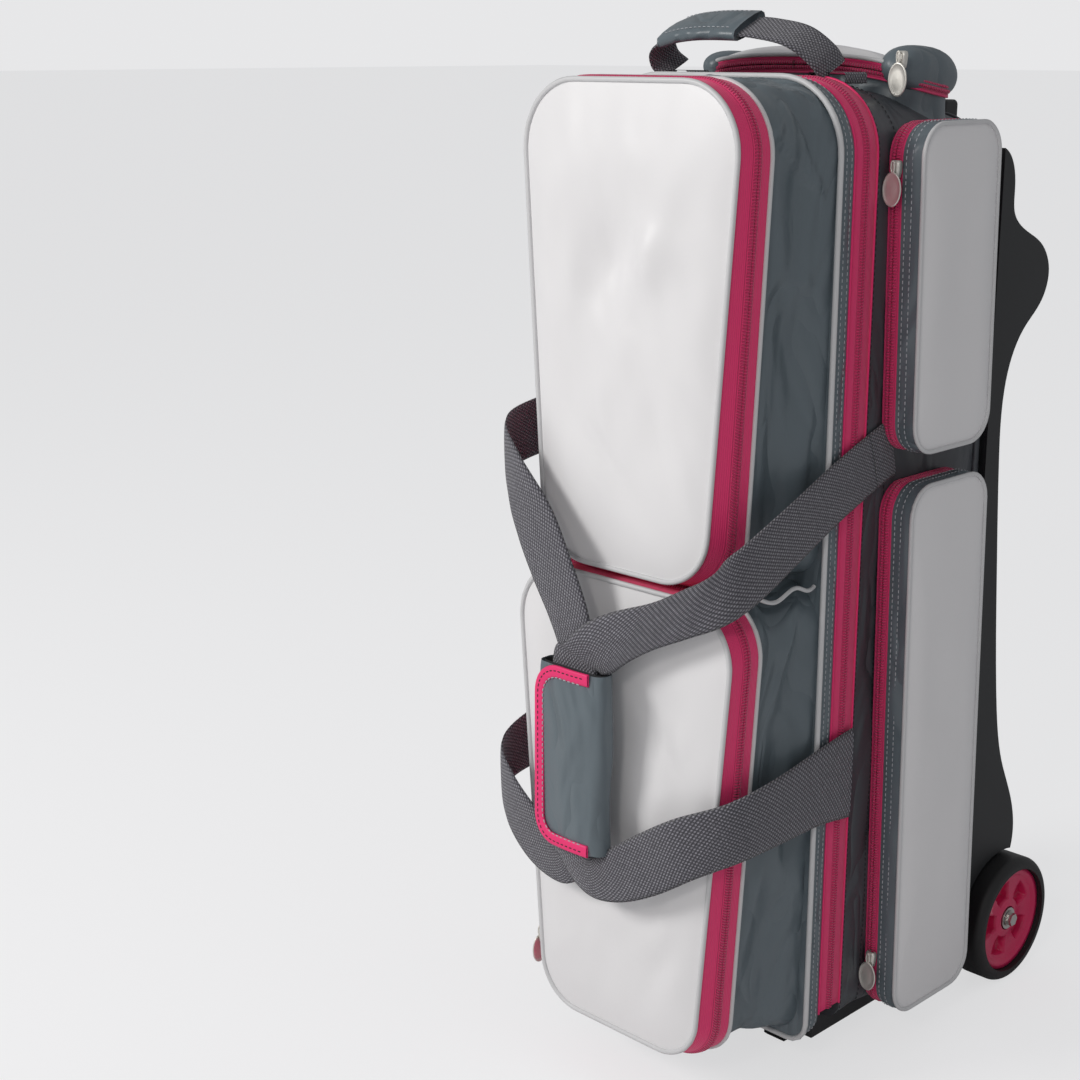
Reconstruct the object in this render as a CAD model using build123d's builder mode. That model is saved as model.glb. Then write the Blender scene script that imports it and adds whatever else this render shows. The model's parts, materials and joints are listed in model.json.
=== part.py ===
"""Three-ball bowling roller bag: upright trolley bag with two wheels, a telescopic handle,
a front lid over three ball cradles, and pockets on the front, sides and top.

Millimetres, +Z up, front towards -Y, right-hand side towards +X, floor at z = 0.
"""
from math import cos, radians, sin
import os

from build123d import *

# clearances
seat = 0.3            # between pieces that sit against each other
slip = 0.4            # each side of a sliding tube
bore_gap = 0.06       # radial, running fit of a bearing on the axle

# body
half = 125.0          # half width of the bag
wall = 5.0            # padded fabric wall
body_low = 45.0
body_high = 879.0     # top of the body at the zipper
body_high_back = 844.0
back_y = 128.0        # rear of the padded body
mouth_y = -55.0       # front rim of the body, where the zipper tape starts
seam_y = -71.0        # where the main zipper parts
lid_y = -87.0         # rear rim of the lid wall
panel_y = -107.0      # front of the lid panel
top_r, low_r = 60.0, 18.0

# ball cradles
ball_r = 109.0
dish_r = ball_r + 2
cradle_h = 45.0
cradle_pitch = 240.0

# wheels
wheel_r = 63.5
axle_y, axle_z, axle_r = 203.0, 63.5, 4.0
wheel_in, wheel_out = 112.0, 150.0
disc_r = 52.2
bearing_r, bearing_w = 11.0, 7.0

# back frame
shell_t = 5.0
shell_half = 98.0
rail_out = 130.0
housing_half, housing_high, housing_y = 78.0, 826.0, 158.0

# telescopic handle
tube_x, tube_y = 50.0, 146.0
tube_w, tube_d, tube_t = 22.0, 14.0, 1.2
tube_low = 66.0
collar_h = 10.0
grip_half, grip_h = 62.0, 20.0

# front pockets
pocket_mid, pocket_rim, pocket_face = -199.0, -217.0, -226.0
pocket_wall = 4.0

# side pockets
side_base, side_rim, side_face = 132.0, 158.0, 163.0

# webbing
web_w, web_t = 52.0, 3.0
wrap_x = -16.0

os.makedirs("parts", exist_ok=True)


def save(builder, name):
    builder.part.label = name
    export_step(builder.part, f"parts/{name}.step")


def block(x, y, z, mode=Mode.ADD):
    """A box from its low and high limits on each axis."""
    with Locations(((x[0] + x[1]) / 2, (y[0] + y[1]) / 2, (z[0] + z[1]) / 2)):
        Box(x[1] - x[0], y[1] - y[0], z[1] - z[0], mode=mode)


def upright(y):
    """A plane facing the front of the bag, at depth y."""
    return Plane.XZ.offset(-y)


def outline(plane, corners, low_radius, high_radius):
    """A four-sided outline, its two lower and two upper corners rounded."""
    with BuildSketch(plane) as s:
        with BuildLine():
            Polyline(*corners, close=True)
        make_face()
        fillet(s.vertices().sort_by(Axis.Y)[:2], low_radius)
        fillet(s.vertices().sort_by(Axis.Y)[-2:], high_radius)
    return s.sketch


def arch(y, inset=0.0, low=body_low, high=body_high):
    """The bag's front outline at depth y, taken in by inset."""
    h = half - inset
    corners = [(-h, low + inset), (h, low + inset), (h, high - inset), (-h, high - inset)]
    return outline(upright(y), corners, max(low_r - inset, 4), top_r - inset)


def front_outline(y, low, low_half, high, high_half, radii, inset=0.0):
    a, b = low_half - inset, high_half - inset
    corners = [(-a, low + inset), (a, low + inset), (b, high - inset), (-b, high - inset)]
    return outline(upright(y), corners, radii[0] - inset, radii[1] - inset)


# ---------------------------------------------------------------- base and body
with BuildPart() as base_tray:
    block((-104, 104), (-66, 124), (24, body_low - seat))
    block((-100, 100), (-62, 120), (28, body_low), mode=Mode.SUBTRACT)
    for x in (-55, 55):
        block((x - 13, x + 13), (-58, -30), (28, body_low - seat))
save(base_tray, "base_tray")

with BuildPart() as front_feet:
    for x in (-55, 55):
        block((x - 12, x + 12), (-57, -31), (0, 24 - seat))
    chamfer(front_feet.edges().group_by(Axis.Z)[0], 2)
save(front_feet, "front_feet")

with BuildPart() as body_casing:
    loft([arch(mouth_y), arch(back_y, high=body_high_back)], ruled=True)
    loft([arch(mouth_y, wall), arch(back_y, wall, high=body_high_back)], ruled=True,
         mode=Mode.SUBTRACT)
    # the floor runs forward to the lid's fabric hinge
    block((-half + 20, half - 20), (lid_y + seat, mouth_y), (body_low, body_low + wall))
    # tabs on top that the carry handle is sewn to
    for x in (-84, 84):
        block((x - 19, x + 19), (-54, -24), (body_high - 12, body_high + 4))
    loft([arch(mouth_y, wall), arch(back_y, wall, high=body_high_back)], ruled=True,
         mode=Mode.SUBTRACT)
save(body_casing, "body_casing")

with BuildPart() as back_board:
    extrude(arch(back_y - 1, wall + seat, high=body_high_back), amount=6)
save(back_board, "back_board")

with BuildPart() as back_shell:
    block((-shell_half, shell_half), (back_y + seat, back_y + seat + shell_t), (48, 836))
    block((-housing_half, housing_half), (back_y + seat + shell_t, housing_y),
          (58, housing_high))
    block((-housing_half + 4, housing_half - 4), (back_y + seat + shell_t, housing_y - 4),
          (62, housing_high), mode=Mode.SUBTRACT)
save(back_shell, "back_shell")

rail_back = [
    (back_y + seat, 818), (141, 808), (148, 786), (150, 762), (172, 744), (203, 728),
    (216, 706), (208, 680), (180, 656), (160, 628), (151, 593), (151, 537), (161, 420),
    (175, 298), (192, 231), (215, 184), (223, 150), (216, 120),
]
rail_foot = [(216, 120), (214, 50), (195, 42), (back_y + seat, 46), (back_y + seat, 818)]


def rail(side):
    """Side rail with its rest bump, wheel guard and the cheek that carries the axle."""
    inner, cheek = shell_half + seat, wheel_in - 3.5
    with BuildPart() as p:
        with BuildSketch(Plane.YZ.offset(inner)) as s:
            with BuildLine():
                Spline(*rail_back)
                Polyline(*rail_foot)
            make_face()
        extrude(amount=rail_out - inner)
        with Locations(Location((cheek, axle_y, axle_z), (0, 90, 0))):
            Cylinder(wheel_r + 5, rail_out - cheek + 1, mode=Mode.SUBTRACT,
                     align=(Align.CENTER, Align.CENTER, Align.MIN))
        with Locations(Location((inner, axle_y, axle_z), (0, 90, 0))):
            Cylinder(axle_r + 0.1, 60, mode=Mode.SUBTRACT)
    return p.part if side > 0 else p.part.mirror(Plane.YZ)


for side, hand in ((1, "right"), (-1, "left")):
    with BuildPart() as back_rail:
        add(rail(side))
    save(back_rail, f"back_rail_{hand}")

with BuildPart() as axle:
    with Locations(Location((0, axle_y, axle_z), (0, 90, 0))):
        Cylinder(axle_r, 2 * 143.0)
    for side in (-1, 1):
        with Locations(Location((side * 144.6, axle_y, axle_z), (0, 90, 0))):
            Cylinder(8, 1.6)
        with BuildSketch(Plane.YZ.offset(side * 145.4)):
            with Locations((axle_y, axle_z)):
                RegularPolygon(6.5, 6)
        extrude(amount=side * 4)
save(axle, "axle")

# ---------------------------------------------------------------- ball cradles
for n, name in enumerate(("lower", "middle", "upper")):
    floor = body_low + wall + seat + n * cradle_pitch
    with BuildPart() as ball_cradle:
        block((-half + wall + seat, half - wall - seat), (-60, back_y - 7 - seat),
              (floor, floor + cradle_h))
        if n == 0:
            fillet(ball_cradle.edges().filter_by(Axis.Y).group_by(Axis.Z)[0], low_r - wall)
        with Locations((0, 8, floor + 10 + dish_r)):
            Sphere(dish_r, mode=Mode.SUBTRACT)
    save(ball_cradle, f"ball_cradle_{name}")

# ---------------------------------------------------------------- main zipper and lid
for name, y0, y1 in (("zip_tape_body", mouth_y - seat, seam_y + 0.15),
                     ("zip_tape_lid", seam_y - 0.15, lid_y + seat)):
    with BuildPart() as zip_tape:
        extrude(arch(y0, 0.5), amount=y0 - y1)
        extrude(arch(y0, 3.5), amount=y0 - y1, mode=Mode.SUBTRACT)
        block((-half, half), (y1 - 1, y0 + 1), (0, body_low + 16), mode=Mode.SUBTRACT)
    save(zip_tape, name)

with BuildPart() as lid_frame:
    extrude(arch(lid_y), amount=lid_y - panel_y)
    extrude(arch(lid_y, wall), amount=lid_y - panel_y, mode=Mode.SUBTRACT)
save(lid_frame, "lid_frame")

with BuildPart() as lid_panel:
    extrude(arch(panel_y + 4, wall + seat), amount=4)
save(lid_panel, "lid_panel")

# ---------------------------------------------------------------- front pockets
# low edge, half width there, high edge, half width there, at the root, the zipper and the face
front_pockets = {
    "upper": [(474, 120, 879, 124, (30, 60)), (477, 98, 879, 119, (46, 56)),
              (480, 88, 878, 116, (48, 54))],
    "lower": [(48, 116, 470, 124, (30, 40)), (51, 96, 470, 124, (40, 50)),
              (54, 88, 468, 122, (42, 50))],
}
for name, (root, mid, face) in front_pockets.items():
    y0 = panel_y - seat
    with BuildPart() as front_pocket:
        loft([front_outline(y0, *root), front_outline(pocket_mid, *mid)], ruled=True)
        loft([front_outline(y0, *root, pocket_wall), front_outline(pocket_mid, *mid, pocket_wall)],
             ruled=True, mode=Mode.SUBTRACT)
    save(front_pocket, f"front_pocket_{name}")
    y0 = pocket_mid - seat
    with BuildPart() as front_door:
        loft([front_outline(y0, *mid), front_outline(pocket_rim, *face)], ruled=True)
        loft([front_outline(y0, *mid, pocket_wall), front_outline(pocket_rim, *face, pocket_wall)],
             ruled=True, mode=Mode.SUBTRACT)
        loft([front_outline(pocket_rim, *face), front_outline(pocket_face, *face, 8)], ruled=True)
    save(front_door, f"front_door_{name}")

# ---------------------------------------------------------------- side pockets
# front and rear edges at the low end, then rear and front edges at the high end
side_pockets = {
    "upper": [(-31, 574), (79, 574), (70, 843), (-40, 843)],
    "lower": [(-16, 48), (100, 48), (82, 543), (-30, 543)],
}


def inset(corners, d):
    (a, b), (c, _), (e, h), (g, _) = corners
    return [(a + d, b + d), (c - d, b + d), (e - d, h - d), (g + d, h - d)]


def side_outline(x, corners, d=0.0):
    return outline(Plane.YZ.offset(x), inset(corners, d), 26 - d, 26 - d)


for name, corners in side_pockets.items():
    x0 = half + seat
    with BuildPart() as pocket:
        extrude(side_outline(x0, corners), amount=side_base - x0)
        extrude(side_outline(x0 + 3, corners, pocket_wall), amount=side_base - x0 - 3,
                mode=Mode.SUBTRACT)
    with BuildPart() as door:
        x1 = side_base + seat
        extrude(side_outline(x1, corners), amount=side_rim - x1)
        extrude(side_outline(x1, corners, pocket_wall), amount=side_rim - x1, mode=Mode.SUBTRACT)
        loft([side_outline(side_rim, corners), side_outline(side_face, corners, 6)], ruled=True)
    save(pocket, f"side_pocket_right_{name}")
    save(door, f"side_door_right_{name}")
    with BuildPart() as pocket_left:
        add(pocket.part.mirror(Plane.YZ))
    with BuildPart() as door_left:
        add(door.part.mirror(Plane.YZ))
    save(pocket_left, f"side_pocket_left_{name}")
    save(door_left, f"side_door_left_{name}")

# ---------------------------------------------------------------- top pocket
top_slope = (body_high_back - body_high) / (back_y - mouth_y)


def body_top(y):
    return body_high + top_slope * (y - mouth_y)


top_front, top_rear = 4.0, 93.0
top_x = (-118.0, 108.0)
top_seam = (886.0, 873.0)
with BuildPart() as top_pocket:
    with BuildSketch(Plane.YZ.offset(-60)):
        with BuildLine():
            Polyline((top_front, body_top(top_front) + seat), (top_rear, body_top(top_rear) + seat),
                     (top_rear, top_seam[1]), (top_front, top_seam[0]), close=True)
        make_face()
    extrude(amount=120)
    with BuildSketch(Plane.YZ.offset(-57)):
        with BuildLine():
            Polyline((top_front + 3, body_top(top_front) + 3), (top_rear - 3, body_top(top_rear) + 4),
                     (top_rear - 3, 900), (top_front + 3, 900), close=True)
        make_face()
    extrude(amount=114, mode=Mode.SUBTRACT)
save(top_pocket, "top_pocket")

with BuildPart() as top_pocket_lid:
    with BuildSketch(Plane.YZ.offset(top_x[0])):
        with BuildLine():
            Polyline((top_front, top_seam[0] + seat), (top_rear, top_seam[1] + seat),
                     (90, 892), (72, 903), (44, 907), (20, 903), (5, 894), close=True)
        make_face()
    extrude(amount=top_x[1] - top_x[0])
    fillet(top_pocket_lid.faces().sort_by(Axis.X)[0].edges().group_by(Axis.Z)[-1], 3)
    with BuildSketch(Plane.YZ.offset(-100)):
        with BuildLine():
            Polyline((top_front + 4, 870), (top_rear - 4, 870), (86, 888), (70, 899),
                     (44, 903), (22, 899), (8, 890), close=True)
        make_face()
    extrude(amount=190, mode=Mode.SUBTRACT)
save(top_pocket_lid, "top_pocket_lid")

# ---------------------------------------------------------------- carry handle on top
handle_lean = 25.0
handle_w = 38.0
handle_plane = Plane(origin=(0, -38, body_high - 2), x_dir=(1, 0, 0),
                     z_dir=(0, -cos(radians(handle_lean)), -sin(radians(handle_lean))))
arc = [(-84, 0), (-92, 16), (-84, 32), (-60, 41), (-30, 45), (30, 43), (62, 36), (82, 20), (86, 0)]


def thick(points, t):
    """The same run of points, moved out from the handle's middle by t."""
    return [(x * (1 + t / 90), y + t) for x, y in points]


with BuildPart() as top_handle_webbing:
    with BuildSketch(handle_plane):
        with BuildLine():
            Polyline(*arc, *reversed(thick(arc, 3)), close=True)
        make_face()
    extrude(amount=handle_w / 2, both=True)
    block((-140, 140), (-140, 60), (body_high - 60, body_high + 4 + seat), mode=Mode.SUBTRACT)
save(top_handle_webbing, "top_handle_webbing")

pad = [(-78, 35), (-60, 41), (-30, 45), (6, 44)]
with BuildPart() as top_handle_pad:
    with BuildSketch(handle_plane):
        with BuildLine():
            Polyline(*[(x, y + 4.6) for x, y in pad],
                     *[(x, y + 7) for x, y in reversed(pad)], close=True)
        make_face()
    extrude(amount=handle_w / 2 + 4, both=True)
    with BuildSketch(handle_plane):
        with BuildLine():
            Polyline(*[(x, y - 4) for x, y in pad],
                     *[(x, y - 1) for x, y in reversed(pad)], close=True)
        make_face()
    extrude(amount=handle_w / 2 + 4, both=True)
    for s in (-1, 1):
        with BuildSketch(handle_plane.offset(s * (handle_w / 2 + 2.3))):
            with BuildLine():
                Polyline(*[(x, y - 4) for x, y in pad],
                         *[(x, y + 7) for x, y in reversed(pad)], close=True)
            make_face()
        extrude(amount=1.7, both=True)
save(top_handle_pad, "top_handle_pad")

# ---------------------------------------------------------------- telescopic handle
with BuildPart() as handle_outer_tubes:
    for x in (-tube_x, tube_x):
        block((x - tube_w / 2, x + tube_w / 2), (tube_y - tube_d / 2, tube_y + tube_d / 2),
              (tube_low, housing_high))
        block((x - tube_w / 2 + tube_t, x + tube_w / 2 - tube_t),
              (tube_y - tube_d / 2 + tube_t, tube_y + tube_d / 2 - tube_t),
              (tube_low + 4, housing_high), mode=Mode.SUBTRACT)
save(handle_outer_tubes, "handle_outer_tubes")

inner_w, inner_d = tube_w - 2 * tube_t - 2 * slip, tube_d - 2 * tube_t - 2 * slip
collar_low = housing_high + seat
grip_low = collar_low + collar_h + 1.0
with BuildPart() as handle_collar:
    block((-housing_half, housing_half), (back_y + shell_t + 2 * seat, housing_y),
          (collar_low, collar_low + collar_h))
    for x in (-tube_x, tube_x):
        block((x - inner_w / 2 - slip, x + inner_w / 2 + slip),
              (tube_y - inner_d / 2 - slip, tube_y + inner_d / 2 + slip),
              (collar_low - 1, collar_low + collar_h + 1), mode=Mode.SUBTRACT)
save(handle_collar, "handle_collar")

with BuildPart() as handle_inner_tubes:
    for x in (-tube_x, tube_x):
        block((x - inner_w / 2, x + inner_w / 2), (tube_y - inner_d / 2, tube_y + inner_d / 2),
              (tube_low + 10, grip_low + 10))
save(handle_inner_tubes, "handle_inner_tubes")

button_w, button_d, button_h = 28.0, 9.0, 9.0
with BuildPart() as handle_grip:
    block((-grip_half, grip_half), (tube_y - 11, tube_y + 11), (grip_low, grip_low + grip_h))
    fillet(handle_grip.edges().filter_by(Axis.X).group_by(Axis.Z)[-1], 5)
    fillet(handle_grip.edges().filter_by(Axis.Y), 3)
    for x in (-tube_x, tube_x):
        block((x - inner_w / 2 - seat, x + inner_w / 2 + seat),
              (tube_y - inner_d / 2 - seat, tube_y + inner_d / 2 + seat),
              (grip_low - 1, grip_low + 10 + seat), mode=Mode.SUBTRACT)
    block((-button_w / 2 - slip, button_w / 2 + slip),
          (tube_y - button_d / 2 - slip, tube_y + button_d / 2 + slip),
          (grip_low + grip_h - button_h - 2, grip_low + grip_h + 1), mode=Mode.SUBTRACT)
save(handle_grip, "handle_grip")

with BuildPart() as release_button:
    block((-button_w / 2, button_w / 2), (tube_y - button_d / 2, tube_y + button_d / 2),
          (grip_low + grip_h - button_h + 1.5, grip_low + grip_h + 1.5))
save(release_button, "release_button")

# ---------------------------------------------------------------- wheels
for side, hand in ((1, "right"), (-1, "left")):
    middle = side * (wheel_in + wheel_out) / 2
    at = Location((middle, axle_y, axle_z), (0, 90, 0))
    with BuildPart() as tyre:
        with Locations(at):
            Cylinder(wheel_r, wheel_out - wheel_in)
        fillet(tyre.edges().filter_by(GeomType.CIRCLE), 8)
        with Locations(at):
            Cylinder(disc_r + seat, 60, mode=Mode.SUBTRACT)
    save(tyre, f"tyre_{hand}")
    with BuildPart() as wheel_hub:
        with Locations(at):
            Cylinder(disc_r, 28)
            Cylinder(disc_r - 6, 28, mode=Mode.SUBTRACT)
            Cylinder(disc_r - 4, 12)
            Cylinder(19, 26)
        for k in range(5):
            a = radians(90 + 72 * k)
            with Locations(Location((middle, axle_y + 32 * cos(a), axle_z + 32 * sin(a)), (0, 90, 0))):
                Cylinder(7.5, 60, mode=Mode.SUBTRACT)
        with Locations(at):
            Cylinder(bearing_r + 0.05, 60, mode=Mode.SUBTRACT)
    save(wheel_hub, f"wheel_hub_{hand}")
    with BuildPart() as bearings:
        for x in (-9, 9):
            with Locations(Location((middle + x, axle_y, axle_z), (0, 90, 0))):
                Cylinder(bearing_r, bearing_w)
                Cylinder(axle_r + bore_gap, 20, mode=Mode.SUBTRACT)
    save(bearings, f"bearings_{hand}")

# ---------------------------------------------------------------- carry straps
# Each station: centre, the way the webbing's width runs, the way its face looks, half width.
right_run = [
    ((127.4, -46, 564), (0, -0.1, 1), (1, 0, 0), 25),
    ((132, -104, 548), (0, -0.35, 1), (1, 0, 0), 25),
    ((132, -196, 506), (0, -0.45, 1), (1, -0.15, 0), 25),
    ((118, -234, 486), (0.25, -0.25, 1), (1, -1, 0), 25),
    ((84, -247, 465), (0.6, 0, 1), (0.1, -1, 0), 25),
    ((50, -252, 444), (0.55, 0, 1), (0, -1, 0), 25),
    ((16, -256, 430), (-0.8, 0, 0.6), (0, -1, 0), 23),
    ((-16, -257, 412), (-1, 0, 0), (0, -1, 0), 26),
    ((-16, -257, 236), (-1, 0, 0), (0, -1, 0), 26),
    ((-14, -257, 222), (-0.8, 0, -0.6), (0, -1, 0), 22),
    ((2, -257, 208), (-0.1, 0, -1), (0, -1, 0), 18),
    ((34, -255, 218), (0.5, 0, -0.85), (0, -1, 0), 22),
    ((60, -251, 240), (0.5, 0, -0.85), (0, -1, 0), 25),
    ((106, -238, 271), (0.2, 0.2, -1), (1, -1, 0), 25),
    ((133, -196, 286), (0, 0.15, -1), (1, -0.15, 0), 28),
    ((133, -131, 290), (0, 0.05, -1), (1, 0, 0), 33),
    ((127.6, -58, 290), (0, 0, -1), (1, 0, 0), 40),
]
left_run = [
    ((-127.4, -46, 580), (0, 0.1, 1), (-1, 0, 0), 25),
    ((-132, -104, 580), (0, -0.1, 1), (-1, 0, 0), 25),
    ((-132, -196, 574), (0, -0.3, 1), (-1, -0.15, 0), 25),
    ((-118, -234, 560), (-0.2, -0.2, 1), (-1, -1, 0), 25),
    ((-78, -244, 526), (0.6, 0, 0.8), (-0.1, -1, 0), 25),
    ((-42, -249, 484), (0.75, 0, 0.65), (0, -1, 0), 25),
    ((-20, -251, 440), (0.95, 0, 0.3), (0, -1, 0), 25),
    ((-16, -252, 412), (1, 0, 0), (0, -1, 0), 26),
    ((-16, -252, 236), (1, 0, 0), (0, -1, 0), 26),
    ((-20, -252, 222), (0.8, 0, -0.6), (0, -1, 0), 22),
    ((-36, -252, 210), (0.1, 0, -1), (0, -1, 0), 18),
    ((-66, -250, 224), (-0.5, 0, -0.85), (0, -1, 0), 22),
    ((-110, -242, 262), (-0.2, 0.2, -1), (-1, -1, 0), 25),
    ((-133, -196, 286), (0, 0.15, -1), (-1, -0.15, 0), 28),
    ((-133, -131, 290), (0, 0.05, -1), (-1, 0, 0), 33),
    ((-127.6, -58, 290), (0, 0, -1), (-1, 0, 0), 40),
]


def webbing(run):
    """A flat strap through its stations."""
    sections = []
    for centre, across, face, half_w in run:
        n = Vector(*face).normalized()
        w = Vector(*across)
        w = (w - n * w.dot(n)).normalized()
        with BuildSketch(Plane(origin=centre, x_dir=w, z_dir=w.cross(n)), mode=Mode.PRIVATE) as s:
            Rectangle(2 * half_w, web_t)
        sections.append(s.sketch)
    return sections


for hand, run in (("right", right_run), ("left", left_run)):
    with BuildPart() as strap:
        loft(webbing(run), ruled=True)
    save(strap, f"strap_{hand}")

wrap_half, wrap_low, wrap_high = 39.0, 248.0, 396.0
wrap_front, wrap_back = -266.5, -243.5
with BuildPart() as grip_wrap:
    block((wrap_x - wrap_half, wrap_x + wrap_half), (wrap_front, wrap_back), (wrap_low, wrap_high))
    fillet(grip_wrap.edges().filter_by(Axis.Z), 9)
    block((wrap_x - 29, wrap_x + 29), (wrap_front + 6, wrap_back - 6.7), (wrap_low - 1, wrap_high + 1),
          mode=Mode.SUBTRACT)
save(grip_wrap, "grip_wrap")

# ---------------------------------------------------------------- sliders and pull tags
# name: where the slider sits on its zipper, and which way its front looks
sliders = {
    "side_right_upper": ((135, -43.4, 808), (0, -1)),
    "side_right_lower": ((135, -22.2, 100), (0, -1)),
    "side_left_upper": ((-135, -43.4, 808), (0, -1)),
    "side_left_lower": ((-135, -22.2, 100), (0, -1)),
    "front_upper": ((-103.6, -205, 505), (-1, 0)),
    "front_lower": ((-104.2, -205, 104), (-1, 0)),
    "top": ((106, -0.6, 893), (0, -1)),
}
slider_h, tag_t, tag_h = 14.0, 1.6, 28.0
for name, ((x, y, z), (fx, fy)) in sliders.items():
    across = (5, 4) if fy else (4, 5)
    with BuildPart() as slider:
        block((x - across[0], x + across[0]), (y - across[1], y + across[1]),
              (z - slider_h / 2, z + slider_h / 2))
    save(slider, f"slider_{name}")
    # the tag hangs from the slider's front
    face = 4 + seat + tag_t / 2
    tx, ty = x + fx * face, y + fy * face
    plane = Plane(origin=(tx, ty, z), x_dir=(-fy, fx, 0), z_dir=(fx, fy, 0))
    with BuildPart() as pull_tag:
        with BuildSketch(plane):
            with Locations((0, 2)):
                Rectangle(4, 10)
            with Locations((0, -tag_h / 2 - 2)):
                Ellipse(9, tag_h / 2)
        extrude(amount=tag_t / 2, both=True)
    save(pull_tag, f"tag_{name}")
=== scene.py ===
"""Looks of a three-ball bowling roller bag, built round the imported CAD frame.

Lengths are in millimetres until a mesh is made, then in metres. Front is -Y, right is +X.
"""
import json
import math

import bpy
import numpy as np
from mathutils import Vector, noise
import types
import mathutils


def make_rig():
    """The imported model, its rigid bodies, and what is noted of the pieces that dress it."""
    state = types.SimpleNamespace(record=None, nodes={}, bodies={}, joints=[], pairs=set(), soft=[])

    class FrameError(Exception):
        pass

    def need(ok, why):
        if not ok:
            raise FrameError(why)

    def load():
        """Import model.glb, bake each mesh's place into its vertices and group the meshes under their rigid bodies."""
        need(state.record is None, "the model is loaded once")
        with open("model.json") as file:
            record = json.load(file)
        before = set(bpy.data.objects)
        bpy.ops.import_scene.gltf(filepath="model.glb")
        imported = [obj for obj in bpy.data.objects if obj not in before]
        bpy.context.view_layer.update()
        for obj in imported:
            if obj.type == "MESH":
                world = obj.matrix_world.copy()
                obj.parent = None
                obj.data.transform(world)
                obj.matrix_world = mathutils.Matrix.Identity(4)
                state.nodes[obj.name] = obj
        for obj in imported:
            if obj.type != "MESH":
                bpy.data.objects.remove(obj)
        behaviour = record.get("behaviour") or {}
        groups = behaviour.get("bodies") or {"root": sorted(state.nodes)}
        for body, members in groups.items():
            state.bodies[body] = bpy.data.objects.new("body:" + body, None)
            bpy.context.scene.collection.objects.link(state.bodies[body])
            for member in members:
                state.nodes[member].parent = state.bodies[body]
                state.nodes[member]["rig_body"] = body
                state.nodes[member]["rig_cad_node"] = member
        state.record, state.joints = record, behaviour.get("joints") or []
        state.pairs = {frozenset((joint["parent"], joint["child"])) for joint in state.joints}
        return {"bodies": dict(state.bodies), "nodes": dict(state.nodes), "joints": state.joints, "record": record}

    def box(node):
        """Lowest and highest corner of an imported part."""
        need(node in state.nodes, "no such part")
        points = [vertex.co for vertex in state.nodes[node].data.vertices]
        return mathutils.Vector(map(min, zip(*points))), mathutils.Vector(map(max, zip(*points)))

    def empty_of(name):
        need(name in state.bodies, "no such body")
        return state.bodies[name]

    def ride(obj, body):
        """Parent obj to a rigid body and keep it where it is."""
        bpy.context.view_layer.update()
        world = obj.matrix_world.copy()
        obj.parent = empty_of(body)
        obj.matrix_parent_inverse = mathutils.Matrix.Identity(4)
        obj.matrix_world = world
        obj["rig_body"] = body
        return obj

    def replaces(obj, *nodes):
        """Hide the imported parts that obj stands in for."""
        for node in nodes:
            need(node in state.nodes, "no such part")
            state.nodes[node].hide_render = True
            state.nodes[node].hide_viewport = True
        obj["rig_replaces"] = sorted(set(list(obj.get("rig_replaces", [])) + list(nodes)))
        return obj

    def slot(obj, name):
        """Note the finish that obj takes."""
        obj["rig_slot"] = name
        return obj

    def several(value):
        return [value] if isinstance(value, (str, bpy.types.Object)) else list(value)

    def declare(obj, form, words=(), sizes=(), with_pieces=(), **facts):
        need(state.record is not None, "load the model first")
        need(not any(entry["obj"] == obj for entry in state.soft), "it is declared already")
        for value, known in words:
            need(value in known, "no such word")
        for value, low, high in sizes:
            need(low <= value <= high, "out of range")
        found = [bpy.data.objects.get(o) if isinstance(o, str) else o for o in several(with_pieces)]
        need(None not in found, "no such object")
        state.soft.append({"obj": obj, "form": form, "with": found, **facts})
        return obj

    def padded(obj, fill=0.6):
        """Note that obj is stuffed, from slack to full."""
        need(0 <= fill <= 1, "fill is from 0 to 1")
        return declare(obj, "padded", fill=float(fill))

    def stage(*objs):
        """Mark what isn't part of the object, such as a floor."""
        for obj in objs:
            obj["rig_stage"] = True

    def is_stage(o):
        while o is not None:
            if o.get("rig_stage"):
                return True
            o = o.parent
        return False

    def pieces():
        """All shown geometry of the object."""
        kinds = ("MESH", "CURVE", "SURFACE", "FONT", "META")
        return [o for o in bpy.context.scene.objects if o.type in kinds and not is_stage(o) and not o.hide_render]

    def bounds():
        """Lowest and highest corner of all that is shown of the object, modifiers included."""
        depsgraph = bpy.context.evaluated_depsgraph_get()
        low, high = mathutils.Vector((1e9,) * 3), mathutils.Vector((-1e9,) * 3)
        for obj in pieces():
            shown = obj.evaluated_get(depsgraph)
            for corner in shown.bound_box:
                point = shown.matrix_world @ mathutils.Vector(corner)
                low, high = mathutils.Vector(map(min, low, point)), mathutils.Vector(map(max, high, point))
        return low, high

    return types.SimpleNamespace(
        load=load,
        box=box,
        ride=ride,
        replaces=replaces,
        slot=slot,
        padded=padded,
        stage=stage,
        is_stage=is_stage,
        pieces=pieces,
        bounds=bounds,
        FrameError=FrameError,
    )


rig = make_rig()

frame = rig.load()
size_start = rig.bounds()

# ------------------------------------------------------------------ materials


def material(name, colour, rough=0.5, metal=0.0, sheen=0.0):
    m = bpy.data.materials.new(name)
    m.use_nodes = True
    b = m.node_tree.nodes["Principled BSDF"]
    b.inputs["Base Color"].default_value = (*colour, 1)
    b.inputs["Roughness"].default_value = rough
    b.inputs["Metallic"].default_value = metal
    b.inputs["Sheen Weight"].default_value = sheen
    return m, m.node_tree, b


def node(tree, kind, **inputs):
    n = tree.nodes.new(kind)
    for k, v in inputs.items():
        if k in n.inputs:
            n.inputs[k].default_value = v
        else:
            setattr(n, k, v)
    return n


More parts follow.
